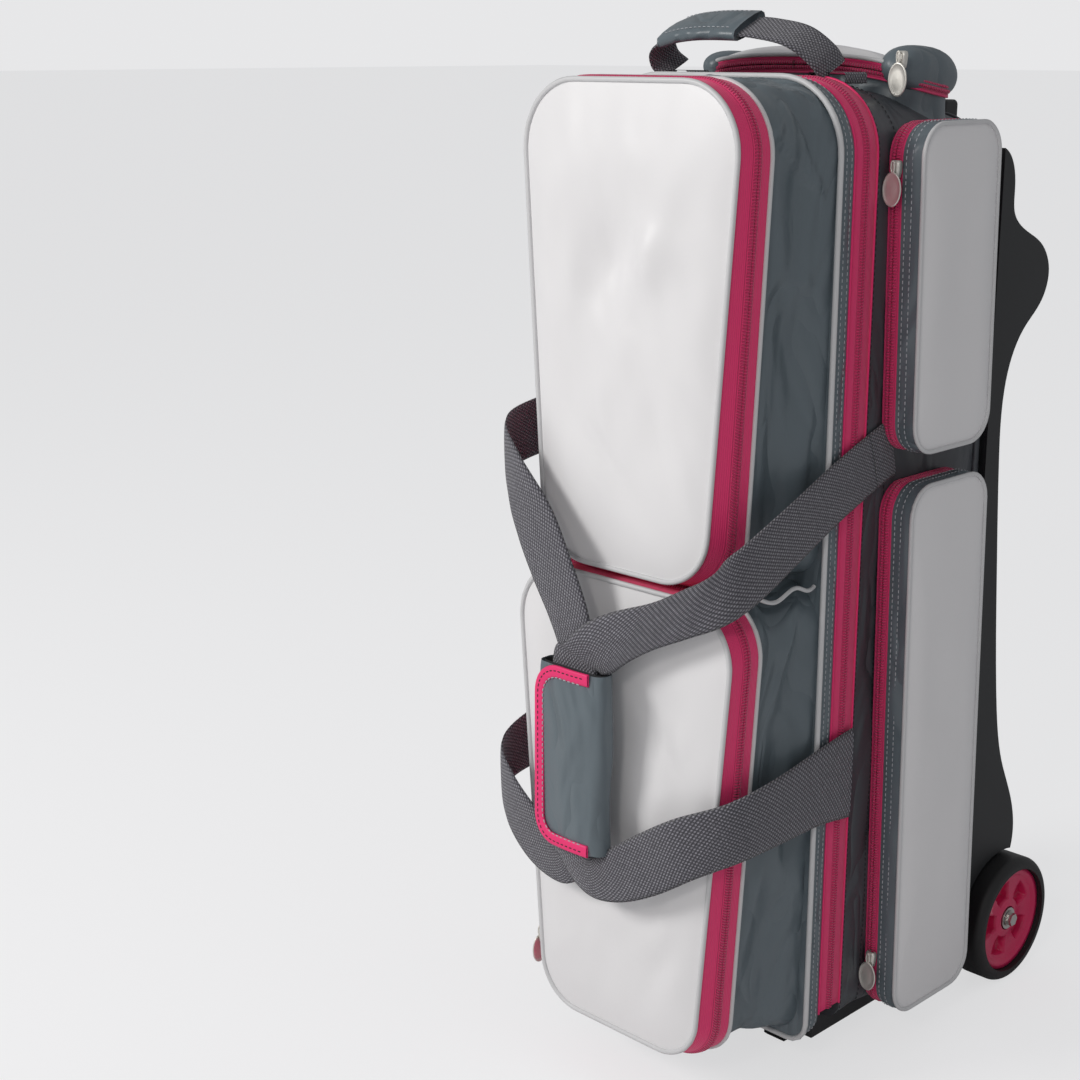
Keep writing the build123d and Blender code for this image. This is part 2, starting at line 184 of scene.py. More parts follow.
def math_node(tree, op, a, b=None, c=None):
    n = tree.nodes.new("ShaderNodeMath")
    n.operation = op
    for i, v in enumerate((a, b, c)):
        if v is None:
            continue
        if isinstance(v, (int, float)):
            n.inputs[i].default_value = v
        else:
            tree.links.new(v, n.inputs[i])
    return n.outputs[0]


def bump(tree, bsdf, height, strength, distance):
    n = node(tree, "ShaderNodeBump", Strength=strength, Distance=distance)
    tree.links.new(height, n.inputs["Height"])
    tree.links.new(n.outputs["Normal"], bsdf.inputs["Normal"])


def mix_colour(tree, bsdf, fac, a, b):
    n = node(tree, "ShaderNodeMix")
    n.data_type = "RGBA"
    n.inputs[6].default_value = (*a, 1)
    n.inputs[7].default_value = (*b, 1)
    tree.links.new(fac, n.inputs[0])
    tree.links.new(n.outputs[2], bsdf.inputs["Base Color"])
    return n


def coated(name, colour, rough, grain=700.0, strength=0.12, mottle=0.05, creases=0.0):
    """Coated cloth: a fine pebbled grain, a slight unevenness of tone and soft creases."""
    m, t, b = material(name, colour, rough)
    at = node(t, "ShaderNodeTexCoord")
    fine = node(t, "ShaderNodeTexNoise", Scale=grain, Detail=3.0)
    t.links.new(at.outputs["Object"], fine.inputs["Vector"])
    bump(t, b, fine.outputs["Fac"], strength, 0.0004)
    if creases:
        long = node(t, "ShaderNodeMapping")
        long.inputs["Scale"].default_value = (1.0, 1.0, 0.45)
        t.links.new(at.outputs["Object"], long.inputs["Vector"])
        fold = node(t, "ShaderNodeTexNoise", Scale=17.0, Detail=2.0, Distortion=0.6)
        t.links.new(long.outputs[0], fold.inputs["Vector"])
        ridge = math_node(t, "ABSOLUTE", math_node(t, "SUBTRACT", fold.outputs["Fac"], 0.5))
        over = node(t, "ShaderNodeBump", Strength=creases, Distance=0.05)
        t.links.new(ridge, over.inputs["Height"])
        t.links.new(b.inputs["Normal"].links[0].from_socket, over.inputs["Normal"])
        t.links.new(over.outputs["Normal"], b.inputs["Normal"])
    broad = node(t, "ShaderNodeTexNoise", Scale=14.0, Detail=4.0)
    t.links.new(at.outputs["Object"], broad.inputs["Vector"])
    low = tuple(c * (1 - mottle) for c in colour)
    high = tuple(min(1, c * (1 + mottle)) for c in colour)
    mix_colour(t, b, broad.outputs["Fac"], low, high)
    b.inputs["Specular IOR Level"].default_value = 0.45
    return m


def uv_axes(tree):
    """(along, across) in millimetres."""
    uv = node(tree, "ShaderNodeUVMap")
    uv.uv_map = "mm"
    sep = node(tree, "ShaderNodeSeparateXYZ")
    tree.links.new(uv.outputs["UV"], sep.inputs[0])
    return sep.outputs[0], sep.outputs[1]


def woven(name, dark, light, pitch_u=3.4, pitch_v=2.6):
    """Coarse webbing: slanting rows of raised yarn, with painted sheen as light flecks on the raised yarn tops."""
    m, t, b = material(name, dark, 0.78, sheen=0.25)
    u, v = uv_axes(t)
    a = math_node(t, "ADD", math_node(t, "DIVIDE", u, pitch_u), math_node(t, "DIVIDE", v, pitch_v))
    c = math_node(t, "SUBTRACT", math_node(t, "DIVIDE", u, pitch_u), math_node(t, "DIVIDE", v, pitch_v))
    sa = math_node(t, "SINE", math_node(t, "MULTIPLY", a, math.pi))
    sc = math_node(t, "SINE", math_node(t, "MULTIPLY", c, math.pi))
    h = math_node(t, "ABSOLUTE", math_node(t, "MULTIPLY", sa, sc))
    bump(t, b, h, 1.0, 0.0011)
    fleck = node(t, "ShaderNodeTexNoise", Scale=420.0, Detail=2.0)
    at = node(t, "ShaderNodeTexCoord")
    t.links.new(at.outputs["Object"], fleck.inputs["Vector"])
    # painted sheen: the raised yarn tops are lightened towards the light colour in noisy flecks
    sheen_flecks = math_node(t, "MULTIPLY", fleck.outputs["Fac"], 1.5)
    f = math_node(t, "MULTIPLY", math_node(t, "POWER", h, 1.6), sheen_flecks)
    mix_colour(t, b, f, dark, light)
    return m


def zipper(name, tape, coil):
    """Zipper tape with a spiral coil down the middle, from the strip's own run. Painted shade darkens the gaps between
    the coil's teeth towards the darker coil colour, which also colours the seam line beside the coil.
    """
    m, t, b = material(name, tape, 0.55, sheen=0.2)
    u, v = uv_axes(t)
    side = math_node(t, "ABSOLUTE", v)
    in_coil = math_node(t, "LESS_THAN", side, 3.4)
    tooth = math_node(t, "SINE", math_node(t, "MULTIPLY", u, 2 * math.pi / 2.5))
    tooth = math_node(t, "MULTIPLY", math_node(t, "ADD", tooth, 1.0), 0.5)
    rib = math_node(t, "SINE", math_node(t, "MULTIPLY", v, 2 * math.pi / 1.7))
    rib = math_node(t, "MULTIPLY", math_node(t, "ADD", rib, 1.0), 0.12)
    h = math_node(t, "ADD", math_node(t, "MULTIPLY", in_coil, tooth),
                  math_node(t, "MULTIPLY", math_node(t, "SUBTRACT", 1.0, in_coil), rib))
    bump(t, b, h, 1.0, 0.0012)
    # painted shade: the gaps between the coil's teeth are darkened towards the darker coil colour
    dark = math_node(t, "MULTIPLY", in_coil, math_node(t, "SUBTRACT", 1.0, tooth))
    seam = math_node(t, "LESS_THAN", math_node(t, "ABSOLUTE", math_node(t, "SUBTRACT", side, 4.2)), 0.55)
    f = math_node(t, "MAXIMUM", math_node(t, "MULTIPLY", dark, 0.65), math_node(t, "MULTIPLY", seam, 0.65))
    mix_colour(t, b, f, tape, coil)
    return m


PINK = (0.84, 0.026, 0.165)
GREY = (0.125, 0.155, 0.175)
MATS = {
    "white": coated("white coated cloth", (0.80, 0.79, 0.80), 0.38, 520, 0.10, 0.02),
    "grey": coated("grey coated cloth", GREY, 0.36, 600, 0.14, 0.06, 0.42),
    "body": coated("dark body cloth", (0.070, 0.076, 0.086), 0.45, 700, 0.2, 0.06, 0.4),
    "dark": coated("dark grey cloth", (0.050, 0.052, 0.060), 0.6, 800, 0.3, 0.08),
    "lining": coated("lining", (0.035, 0.036, 0.04), 0.8, 900, 0.3, 0.1),
    "foam": coated("cloth over foam", (0.05, 0.052, 0.058), 0.85, 500, 0.5, 0.12),
    "piping": coated("light piping", (0.62, 0.62, 0.63), 0.38, 900, 0.05, 0.02),
    "binding": coated("pink binding", PINK, 0.5, 900, 0.35, 0.06),
    # the webbing's light colour is painted sheen on the raised yarn tops
    "webbing": woven("woven webbing", (0.045, 0.043, 0.056), (0.40, 0.39, 0.44), 4.4, 3.4),
    # the darker pink is painted shade in the gaps between the coil's teeth, and the colour of the seam line beside the
    # coil
    "zip": zipper("pink zipper", PINK, (0.42, 0.010, 0.08)),
    "black": coated("black moulding", (0.016, 0.017, 0.019), 0.5, 1100, 0.12, 0.1),
    "rubber": coated("tyre rubber", (0.012, 0.012, 0.013), 0.55, 800, 0.15, 0.1),
    "hub": coated("pink moulding", (0.62, 0.016, 0.10), 0.3, 700, 0.03, 0.03),
    "thread": material("pale thread", (0.42, 0.44, 0.47), 0.7)[0],
    "seam": material("dark thread", (0.02, 0.022, 0.026), 0.8)[0],
}


def brushed(name, colour, rough):
    m, t, b = material(name, colour, rough, metal=1.0)
    at = node(t, "ShaderNodeTexCoord")
    n = node(t, "ShaderNodeTexNoise", Scale=500.0, Detail=4.0)
    t.links.new(at.outputs["Object"], n.inputs["Vector"])
    bump(t, b, n.outputs["Fac"], 0.08, 0.0003)
    return m


MATS["nickel"] = brushed("satin nickel", (0.74, 0.72, 0.67), 0.42)
MATS["nickel"].node_tree.nodes["Principled BSDF"].inputs["Metallic"].default_value = 0.7
MATS["steel"] = brushed("zinc plated steel", (0.55, 0.54, 0.52), 0.32)
MATS["aluminium"] = brushed("anodised tube", (0.62, 0.63, 0.65), 0.3)

# ------------------------------------------------------------------ mesh helpers


def make(name, verts, faces, mat, body=None, uv=None, smooth=True):
    """A mesh from millimetre vertices. uv is one (along, across) pair per vertex, in millimetres."""
    me = bpy.data.meshes.new(name)
    metres = [tuple(v) for v in np.asarray(verts, float) / 1000]
    me.from_pydata(metres, [], [tuple(map(int, f)) for f in faces])
    if uv is not None:
        layer = me.uv_layers.new(name="mm")
        idx = np.zeros(len(me.loops), int)
        me.loops.foreach_get("vertex_index", idx)
        layer.data.foreach_set("uv", np.asarray(uv, float)[idx].ravel())
    me.materials.append(MATS[mat])
    o = bpy.data.objects.new(name, me)
    bpy.context.scene.collection.objects.link(o)
    if smooth:
        me.shade_smooth()
    me.update()
    if body:
        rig.ride(o, body)
    return o


def join(name, parts, body, replaces=(), padded=None, slot=None):
    """Several meshes as one object riding on a body."""
    bpy.context.view_layer.update()
    for o in bpy.data.objects:
        o.select_set(False)
    for o in parts:
        o.select_set(True)
    bpy.context.view_layer.objects.active = parts[0]
    if len(parts) > 1:
        bpy.ops.object.join()
    o = parts[0]
    o.name = name.replace(" ", "_")
    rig.ride(o, body)
    for n in replaces:
        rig.replaces(o, n)
    if padded is not None:
        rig.padded(o, fill=padded)
    if slot:
        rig.slot(o, slot)
    return o


def rounded(corners, radii, n=220):
    """Evenly spaced points round a polygon with rounded corners, from the middle of its first edge."""
    c = [np.array(p, float) for p in corners]
    pts = [(c[0] + c[1]) / 2]
    order = list(range(1, len(c))) + [0]
    for i in order:
        p, a, b, r = c[i], c[i - 1], c[(i + 1) % len(c)], radii[i]
        u, v = (a - p) / np.linalg.norm(a - p), (b - p) / np.linalg.norm(b - p)
        h = math.acos(np.clip(u @ v, -1, 1)) / 2
        mid = p + (u + v) / np.linalg.norm(u + v) * r / math.sin(h)
        s, e = p + u * r / math.tan(h), p + v * r / math.tan(h)
        a0, a1 = math.atan2(*(s - mid)[::-1]), math.atan2(*(e - mid)[::-1])
        d = (a1 - a0 + math.pi) % (2 * math.pi) - math.pi
        pts += [mid + r * np.array([math.cos(a0 + d * k / 12), math.sin(a0 + d * k / 12)]) for k in range(13)]
    pts.append(pts[0])
    pts = np.array(pts)
    run = np.r_[0, np.cumsum(np.linalg.norm(np.diff(pts, axis=0), axis=1))]
    t = np.linspace(0, run[-1], n, endpoint=False)
    return np.stack([np.interp(t, run, pts[:, k]) for k in (0, 1)], 1)


def outward(ring):
    """Outward unit normals of a closed ring that runs anticlockwise."""
    d = np.roll(ring, -1, 0) - np.roll(ring, 1, 0)
    n = np.stack([d[:, 1], -d[:, 0]], 1)
    return n / np.linalg.norm(n, axis=1)[:, None]


def facing_front(ring, y):
    """A 2-D ring (X, Z) at depth y."""
    y = np.broadcast_to(y, len(ring))
    return np.stack([ring[:, 0], y, ring[:, 1]], 1)


def facing_side(ring, x):
    """A 2-D ring (Y, Z) at distance x."""
    x = np.broadcast_to(x, len(ring))
    return np.stack([x, ring[:, 0], ring[:, 1]], 1)


def skin(name, rings, mat, closed=True, flip=False, across=None):
    """A surface through rings of equal length. across gives each ring's place over the strip."""
    rings = [np.asarray(r) for r in rings]
    n, m = len(rings[0]), len(rings)
    v = np.concatenate(rings)
    f, last = [], n if closed else n - 1
    for j in range(m - 1):
        for i in range(last):
            a, b = j * n + i, j * n + (i + 1) % n
            q = (a, b, b + n, a + n)
            f.append(q[::-1] if flip else q)
    seg = np.r_[0, np.cumsum(np.linalg.norm(np.diff(rings[0], axis=0), axis=1))]
    if across is None:
        steps = [np.linalg.norm(rings[k + 1] - rings[k], axis=1).mean() for k in range(m - 1)]
        across = np.r_[0, np.cumsum(steps)]
    uv = np.concatenate([np.stack([seg, np.full(n, across[k])], 1) for k in range(m)])
    return make(name, v, f, mat, uv=uv)


def rumple(v, n, amp, size, seed=0.0, pin=None, stretch=(1, 1, 1), crease=False):
    """Vertices pushed along their normals by smooth noise of that size, in millimetres."""
    v, n = np.asarray(v, float), np.asarray(n, float)
    s = np.array(stretch, float)
    k = np.array([noise.noise(Vector(p * s / size) + Vector((seed, seed * 1.7, -seed))) for p in v])
    if crease:
        k = 0.35 - np.minimum(np.abs(k) * 2.4, 1.2)
    if pin is not None:
        k = k * pin
    return v + n * (amp * k)[:, None]


def sweep(name, path, across, normal, profile, mat, closed=False):
    """A profile of (across, height) pairs carried along a path."""
    path, across, normal = (np.asarray(x, float) for x in (path, across, normal))
    n, m = len(path), len(profile)
    v = np.concatenate([path + across * a + normal * h for a, h in profile])
    run = np.r_[0, np.cumsum(np.linalg.norm(np.diff(path, axis=0), axis=1))]
    uv = np.concatenate([np.stack([run, np.full(n, a)], 1) for a, _ in profile])
    f = []
    for j in range(m):
        k = (j + 1) % m
        for i in range(n if closed else n - 1):
            i2 = (i + 1) % n
            f.append((j * n + i, j * n + i2, k * n + i2, k * n + i))
    if not closed:
        f.append([j * n for j in range(m)][::-1])
        f.append([j * n + n - 1 for j in range(m)])
    return make(name, v, f, mat, uv=uv)


def frames(path, up):
    """Tangents and two directions across a path, one of them near up."""
    path = np.asarray(path, float)
    t = np.gradient(path, axis=0)
    t /= np.linalg.norm(t, axis=1)[:, None]
    up = np.broadcast_to(up, path.shape)
    a = np.cross(t, up)
    a /= np.linalg.norm(a, axis=1)[:, None] + 1e-9
    return t, a, np.cross(a, t)


def tube(name, path, r, mat, closed=False, up=(0.31, 0.41, 0.86), sides=8):
    """A round cord of radius r along a path."""
    path = np.asarray(path, float)
    if closed:
        t = np.roll(path, -1, 0) - np.roll(path, 1, 0)
        t /= np.linalg.norm(t, axis=1)[:, None]
        a = np.cross(t, np.broadcast_to(up, path.shape))
        a /= np.linalg.norm(a, axis=1)[:, None] + 1e-9
        b = np.cross(a, t)
    else:
        t, a, b = frames(path, up)
    turns = [2 * math.pi * k / sides for k in range(sides)]
    prof = [(r * math.cos(k), r * math.sin(k)) for k in turns]
    return sweep(name, path, a, b, prof, mat, closed=closed)


def stitches(name, path, normal, mat="thread", pitch=5.0, length=3.4, r=0.5, closed=False):
    """A row of separate stitches lying on a surface along a path."""
    path, normal = np.asarray(path, float), np.broadcast_to(normal, np.shape(path))
    if closed:
        path, normal = np.r_[path, path[:1]], np.r_[normal, normal[:1]]
    run = np.r_[0, np.cumsum(np.linalg.norm(np.diff(path, axis=0), axis=1))]
    at = np.arange(pitch, run[-1] - pitch, pitch)

    def where(s, what):
        return np.stack([np.interp(s, run, what[:, k]) for k in range(3)], 1)
    a, b, nn = where(at, path), where(at + length, path), where(at, normal)
    t = b - a
    t /= np.linalg.norm(t, axis=1)[:, None]
    w = np.cross(t, nn)
    v, f = [], []
    for p, q, tt, ww, n in zip(a, b, t, w, nn):
        k = len(v)
        v += [p - n * r, p + tt * 0.5 + ww * r, p + tt * 0.5 + n * r, p + tt * 0.5 - ww * r,
              q - tt * 0.5 + ww * r, q - tt * 0.5 + n * r, q - tt * 0.5 - ww * r, q - n * r]
        f += [(k, k + 1, k + 2), (k, k + 2, k + 3), (k + 1, k + 4, k + 5, k + 2),
              (k + 2, k + 5, k + 6, k + 3), (k + 7, k + 5, k + 4), (k + 7, k + 6, k + 5)]
    return make(name, v, f, mat)


def panel(name, ring, centre, crown, mat, lift, rings=26, shape=2.2, wrinkle=None):
    """A stuffed panel inside a ring: it rises by crown along lift towards the middle."""
    ring, centre, lift = np.asarray(ring, float), np.asarray(centre, float), np.asarray(lift, float)
    out = []
    for t in np.linspace(0, 1, rings) ** 0.9:
        p = centre + (ring - centre) * (1 - t * 0.985)
        h = crown * (1 - (1 - min(t * 2.2, 1)) ** shape)
        p = p + lift * h
        if wrinkle:
            p = p + lift * np.array([wrinkle(q, t) for q in p])[:, None]
        out.append(p)
    o = skin(name, out, mat)
    me = o.data
    n = len(ring)
    base = (len(out) - 1) * n
    v = [tuple(x.co) for x in me.vertices]
    uv = [(0, 0)] * len(v)
    f = [tuple(p.vertices) for p in me.polygons] + [tuple(range(base, base + n))]
    bpy.data.objects.remove(o)
    return make(name, np.array(v) * 1000, f, mat, uv=uv)


ZIP_W = 16.0
HALF_COIL = [(0.15, 0.2), (0.15, 1.6), (0.8, 2.3), (1.9, 2.4), (2.9, 1.9), (3.4, 0.8), (5.0, 0.7),
             (ZIP_W - 0.4, 0.8), (ZIP_W, 0.2), (ZIP_W, -0.8), (0.15, -0.8)]


def half_zip(name, path, across, normal, width=ZIP_W, closed=False):
    """One tape of a zipper, its coil along the path and its tape running off across."""
    prof = [(min(a, width) if a < 6 else a * width / ZIP_W, h) for a, h in HALF_COIL]
    return sweep(name, path, across, normal, prof, "zip", closed=closed)


def open_run(ring, keep):
    """The points of a closed ring that keep says yes to, as one open run from its first side."""
    return np.array([k for k, p in enumerate(ring) if keep(p)])


# ------------------------------------------------------------------ shared sizes (mm)
HALF, LOW, HIGH, HIGH_BACK = 125.0, 45.0, 879.0, 844.0
MOUTH, SEAM, LID, PANEL, BACK = -55.0, -71.0, -87.0, -107.0, 128.0
TOP_R, LOW_R = 60.0, 18.0


def body_ring(y, inset=0.0, n=260):
    high = HIGH if y < MOUTH else HIGH + (HIGH_BACK - HIGH) * (y - MOUTH) / (BACK - MOUTH)
    h, lo, hi = HALF - inset, LOW + inset, high - inset
    r0, r1 = max(LOW_R - inset, 4), max(TOP_R - inset, 4)
    return rounded([(-h, lo), (h, lo), (h, hi), (-h, hi)], [r0, r0, r1, r1], n)


FRONT = {  # low edge, half width there, high edge, half width there, low and high radii
    "upper": [(474, 120, 879, 124, 30, 60), (477, 98, 879, 119, 46, 56), (480, 88, 878, 116, 48, 54)],
    "lower": [(48, 116, 470, 124, 30, 40), (51, 96, 470, 124, 40, 50), (54, 88, 468, 122, 42, 50)],
}
ROOT_Y, MID_Y, RIM_Y = PANEL, -199.0, -217.0


def front_ring(which, y, out=0.0, n=260):
    a, b, c = (np.array(k, float) for k in FRONT[which])
    if y > MID_Y:
        k = a + (b - a) * (y - ROOT_Y) / (MID_Y - ROOT_Y)
    else:
        k = b + (c - b) * (y - MID_Y) / (RIM_Y - MID_Y)
    lo, lh, hi, hh, r0, r1 = k
    return rounded([(-lh - out, lo - out), (lh + out, lo - out), (hh + out, hi + out), (-hh - out, hi + out)],
                   [r0 + out, r0 + out, r1 + out, r1 + out], n)


def normals_front(ring):
    n = outward(ring)
    return np.stack([n[:, 0], np.zeros(len(n)), n[:, 1]], 1)


Y_AXIS = np.array([0, 1.0, 0])

# ------------------------------------------------------------------ body
def body_folds(p, n3, y):
    """The body's cloth, held flat at its mouth and at its back seam."""
    pin = min(1, (y - MOUTH) / 25) * min(1, (BACK - y) / 25)
    return rumple(p, n3, 3.6, 55, 3.0, pin, (1, 1.2, 0.55))


ys = np.r_[np.linspace(MOUTH, BACK - 6, 26), BACK - 2, BACK]
insets = np.r_[np.zeros(26), 1.2, 5.0]
rings = []
for y, d in zip(ys, insets):
    r = body_ring(y, d)
    n3 = normals_front(r)
    rings.append(body_folds(facing_front(r, y), n3, y))
outer = skin("body outside", rings, "body")
rings = [facing_front(body_ring(y, 5.0), y) for y in (MOUTH, 0, 60, BACK)]
inner = skin("body lining", rings, "lining", flip=True)
rings = [facing_front(body_ring(MOUTH, d), MOUTH) for d in (0, 5.0)]
rim = skin("body rim", rings, "dark", flip=True)
parts = [outer, inner, rim]
# the cloth hinge under the main zipper, between body and lid
foot = [(-105, LID + 1), (-105, MOUTH + 2), (105, MOUTH + 2), (105, LID + 1)]
box_faces = [(0, 1, 2, 3), (7, 6, 5, 4), (0, 4, 5, 1), (1, 5, 6, 2), (2, 6, 7, 3), (3, 7, 4, 0)]
strip = [(x, y, z) for z in (LOW, LOW + 5) for x, y in foot]
parts.append(make("hinge strip", strip, box_faces, "dark", smooth=False))
# seams round the body: a row of stitches by the zipper, a second row of stitches, and the corner seam at the back as
# piping
for y, kind in ((MOUTH + 1.5, "seam"), (MOUTH + 30, "seam"), (BACK - 14, "piping")):
    r = body_ring(y, -0.4)
    n3 = normals_front(r)
    p = body_folds(facing_front(r, y), n3, y)
    if kind == "piping":
        parts.append(tube("back piping", p, 1.9, "body", closed=True))
    else:
        parts.append(stitches("body stitches", p + n3 * 0.2, n3, "seam", closed=True))
# tabs that the carry handle is sewn to
for x in (-98, 70):
    tab = []
    for y in np.linspace(-54, -24, 7):
        outline = [(-19, 874), (-19, 881.6), (-17.6, 883), (17.6, 883), (19, 881.6), (19, 874)]
        tab.append([(x + a, y, z) for a, z in outline])
    parts.append(skin("handle tab", tab, "webbing", closed=True))
body = join("body casing cloth", parts, "bag", ["body_casing"], padded=0.5, slot="grey_pu")

# main zipper, one tape on the body and one on the lid
for name, sign, where in (("body", 1, "bag"), ("lid", -1, "lid")):
    r = body_ring(SEAM, 0.6)
    n3 = normals_front(r)
    keep = open_run(r, lambda p: p[1] > LOW + 17)
    away = np.broadcast_to(Y_AXIS * sign, (len(keep), 3))
    tape = half_zip("tape", facing_front(r, SEAM)[keep], away, n3[keep], 15.6)
    sewn = body_ring(SEAM + sign * 15.4, -0.3)
    edge = tube("tape edge", facing_front(sewn, SEAM + sign * 15.2)[keep], 1.1, "binding")
    join(f"main zipper tape {name}", [tape, edge], where, [f"zip_tape_{name}"], padded=0.3, slot="zip_pink")

# ------------------------------------------------------------------ lid
rings = []
for y in np.linspace(LID, PANEL, 7):
    r = body_ring(y)
    n3 = normals_front(r)
    k = math.sin(math.pi * (LID - y) / (LID - PANEL))
    rings.append(facing_front(r, y) + n3 * (1.6 * k))
parts = [skin("lid wall", rings, "grey", flip=True)]
parts.append(skin("lid lining", [facing_front(body_ring(y, 5.0), y) for y in (LID, PANEL)], "lining"))
parts.append(skin("lid rim", [facing_front(body_ring(LID, d), LID) for d in (0, 5)], "dark"))
for y in (LID - 5.5, LID - 12):
    r = body_ring(y, -1.6)
    parts.append(stitches("lid stitches", facing_front(r, y), normals_front(r), closed=True))
r = body_ring(PANEL, -1.6)
parts.append(tube("lid piping", facing_front(r, PANEL), 2.5, "piping", closed=True))
front = [facing_front(body_ring(PANEL, d), PANEL - 0.2) for d in (0, 3, 10, 30, 70, 115)]
parts.append(skin("lid front cloth", front, "grey", flip=True))
join("lid frame cloth", parts, "lid", ["lid_frame"], padded=0.5, slot="grey_pu")


# ------------------------------------------------------------------ front pockets
def upper_folds(p, t):
    x, z = p[0], p[2]
    s = math.sin(min(t * 1.6, 1) * math.pi / 2)
    k = -5.0 * math.exp(-((x + 5 - 0.35 * (z - 745)) / 26) ** 2 - ((z - 745) / 42) ** 2)
    k += 3.5 * math.exp(-((x - 30) / 22) ** 2 - ((z - 742) / 30) ** 2)
    k += 2.6 * math.exp(-((x + 60) / 26) ** 2 - ((z - 810) / 60) ** 2)
    k -= 2.4 * math.exp(-((x + 0.9 * (z - 560)) / 16) ** 2) * math.exp(-((z - 560) / 60) ** 2)
    k += 2.8 * noise.noise(Vector((x / 60, 3.1, z / 85)))
    k += 1.0 * noise.noise(Vector((x / 22 + 0.5 * z / 40, 9.1, z / 38)))
    return 1.9 * s * k


def lower_folds(p, t):
    x, z = p[0], p[2]
    s = math.sin(min(t * 1.6, 1) * math.pi / 2)
    k = 3.0 * noise.noise(Vector((x / 70, 7.7, z / 90)))
    k -= 2.0 * math.exp(-((x - 60 + 0.6 * (z - 330)) / 14) ** 2) * math.exp(-((z - 330) / 60) ** 2)
    k -= 2.2 * math.exp(-((x - 55 - 0.5 * (z - 130)) / 13) ** 2) * math.exp(-((z - 130) / 45) ** 2)
    k += 0.9 * noise.noise(Vector((x / 24, 1.1, z / 30)))
    return 1.9 * s * k


BAND_A = -183.0


def flap_lift(p):
    """A triangular tuck folded into the upper right grey side, over (Y, Z)."""
    tri = [(-187, 839), (-118, 785), (-150, 866)]
    y, z = p[:, 1], p[:, 2]
    near = np.full(len(p), 1e9)
    for (a, b), (c, d) in zip(tri, tri[1:] + tri[:1]):
        k = np.hypot(c - a, d - b)
        near = np.minimum(near, ((c - a) * (z - b) - (d - b) * (y - a)) / k)
    return np.where(p[:, 0] > 60, 4.0 * np.clip(near / 2.5, 0, 1) * (1 - 0.5 * np.clip(near / 30, 0, 1)), 0)


def front_tape(which, sign, end):
    """One half of a front pocket's zipper, from the coil at MID_Y to its sewn edge."""
    span = abs(end - MID_Y)
    stations = [(0.2, -0.8), (0.2, 2.0), (1.0, 2.7), (2.2, 2.7), (3.1, 2.1), (3.6, 1.0), (6.0, 0.8),
                (span * 0.7, 0.9), (span, 0.5)]
    rings = [facing_front(front_ring(which, MID_Y + sign * a, h), MID_Y + sign * a) for a, h in stations]
    return skin("tape", rings, "zip", flip=sign < 0, across=[a for a, _ in stations])


for which, folds, crown in (("upper", upper_folds, 8.0), ("lower", lower_folds, 9.0)):
    rings = []
    for y in np.linspace(ROOT_Y, BAND_A, 26):
        r = front_ring(which, y)
        n3 = normals_front(r)
        k = (ROOT_Y - y) / (ROOT_Y - BAND_A)
        pin = math.sin(math.pi * k)
        p = facing_front(r, y) - n3 * (2.0 * pin)
        seed = 5.0 if which == "upper" else 8.0
        p = rumple(p, n3, 7.5, 62, seed, pin ** 0.6, (1.0, 1.25, 0.40), crease=True)
        p = rumple(p, n3, 4.5, 30, seed + 4, pin, (1.0, 1.1, 0.55))
        if which == "upper":
            p = p + n3 * flap_lift(p)[:, None]
        rings.append(p)
    parts = [skin("gusset", rings, "grey", flip=True)]
    r = front_ring(which, BAND_A, 0.8)
    parts.append(tube("outer piping", facing_front(r, BAND_A), 2.1, "piping", closed=True))
    parts.append(front_tape(which, 1, BAND_A + 0.5))
    inside = ((ROOT_Y, -5), (-120, -16), (-172, -16), (MID_Y, -3))
    rings = [facing_front(front_ring(which, y, d), y) for y, d in inside]
    parts.append(skin("gusset lining", rings, "lining"))
    if which == "upper":
        for hand in (-1, 1):
            k = np.linspace(0, 1, 50)
            wavy = 470.5 + 3.5 * np.sin(k * 3.1 * math.pi + 2.2)
            wave = np.stack([hand * (119 + 4 * np.sin(math.pi * k)), -186 + 76 * k, wavy], 1)
            parts.append(tube("loose piping", wave, 1.8, "piping"))
    join(f"front pocket {which} cloth", parts, "lid", [f"front_pocket_{which}"], padded=0.4, slot="grey_pu")

    parts = []
    parts.append(front_tape(which, -1, RIM_Y + 0.3))
    r = front_ring(which, RIM_Y, 0.6)
    parts.append(tube("face piping", facing_front(r, RIM_Y - 0.5), 2.3, "piping", closed=True))
    r = front_ring(which, RIM_Y, 0.0)
    lo, _, hi, *_ = FRONT[which][2]
    mid = (0, RIM_Y, (lo + hi) / 2)
    parts.append(panel("face", facing_front(r, RIM_Y), mid, crown, "white", -Y_AXIS, wrinkle=folds))
    inside = ((MID_Y - 1, -3.0), (RIM_Y + 1, -3.0), (RIM_Y + 1, -80))
    parts.append(skin("flap lining", [facing_front(front_ring(which, y, d), y) for y, d in inside], "lining"))
    join(f"front door {which} cloth", parts, f"front_flap_{which}", [f"front_door_{which}"],
         padded=0.6, slot="white_pu")

# ------------------------------------------------------------------ side pockets
SIDE = {  # corners over (Y, Z)
    "upper": [(-31, 574), (79, 574), (70, 843), (-40, 843)],
    "lower": [(-16, 48), (100, 48), (82, 543), (-30, 543)],
}
BASE, ZIP_X, GUSSET, RIM_X = 125.3, 132.0, 140.0, 158.0


def side_ring(which, out=0.0, n=200):
    (a, b), (c, _), (e, h), (g, _) = SIDE[which]
    corners = [(a - out, b - out), (c + out, b - out), (e + out, h + out), (g - out, h + out)]
    return rounded(corners, [26 + out] * 4, n)


def normals_side(ring):
    n = outward(ring)
    return np.stack([np.zeros(len(n)), n[:, 0], n[:, 1]], 1)


def side_folds(p, t):
    fade = math.sin(min(t * 2, 1) * math.pi / 2)
    return fade * 1.6 * noise.noise(Vector((p[1] / 45, 2.0, p[2] / 90)))


def top_folds(p, t):
    fade = math.sin(min(t * 2, 1) * math.pi / 2)
    return fade * 1.8 * noise.noise(Vector((p[0] / 50, p[1] / 40, 4.0)))


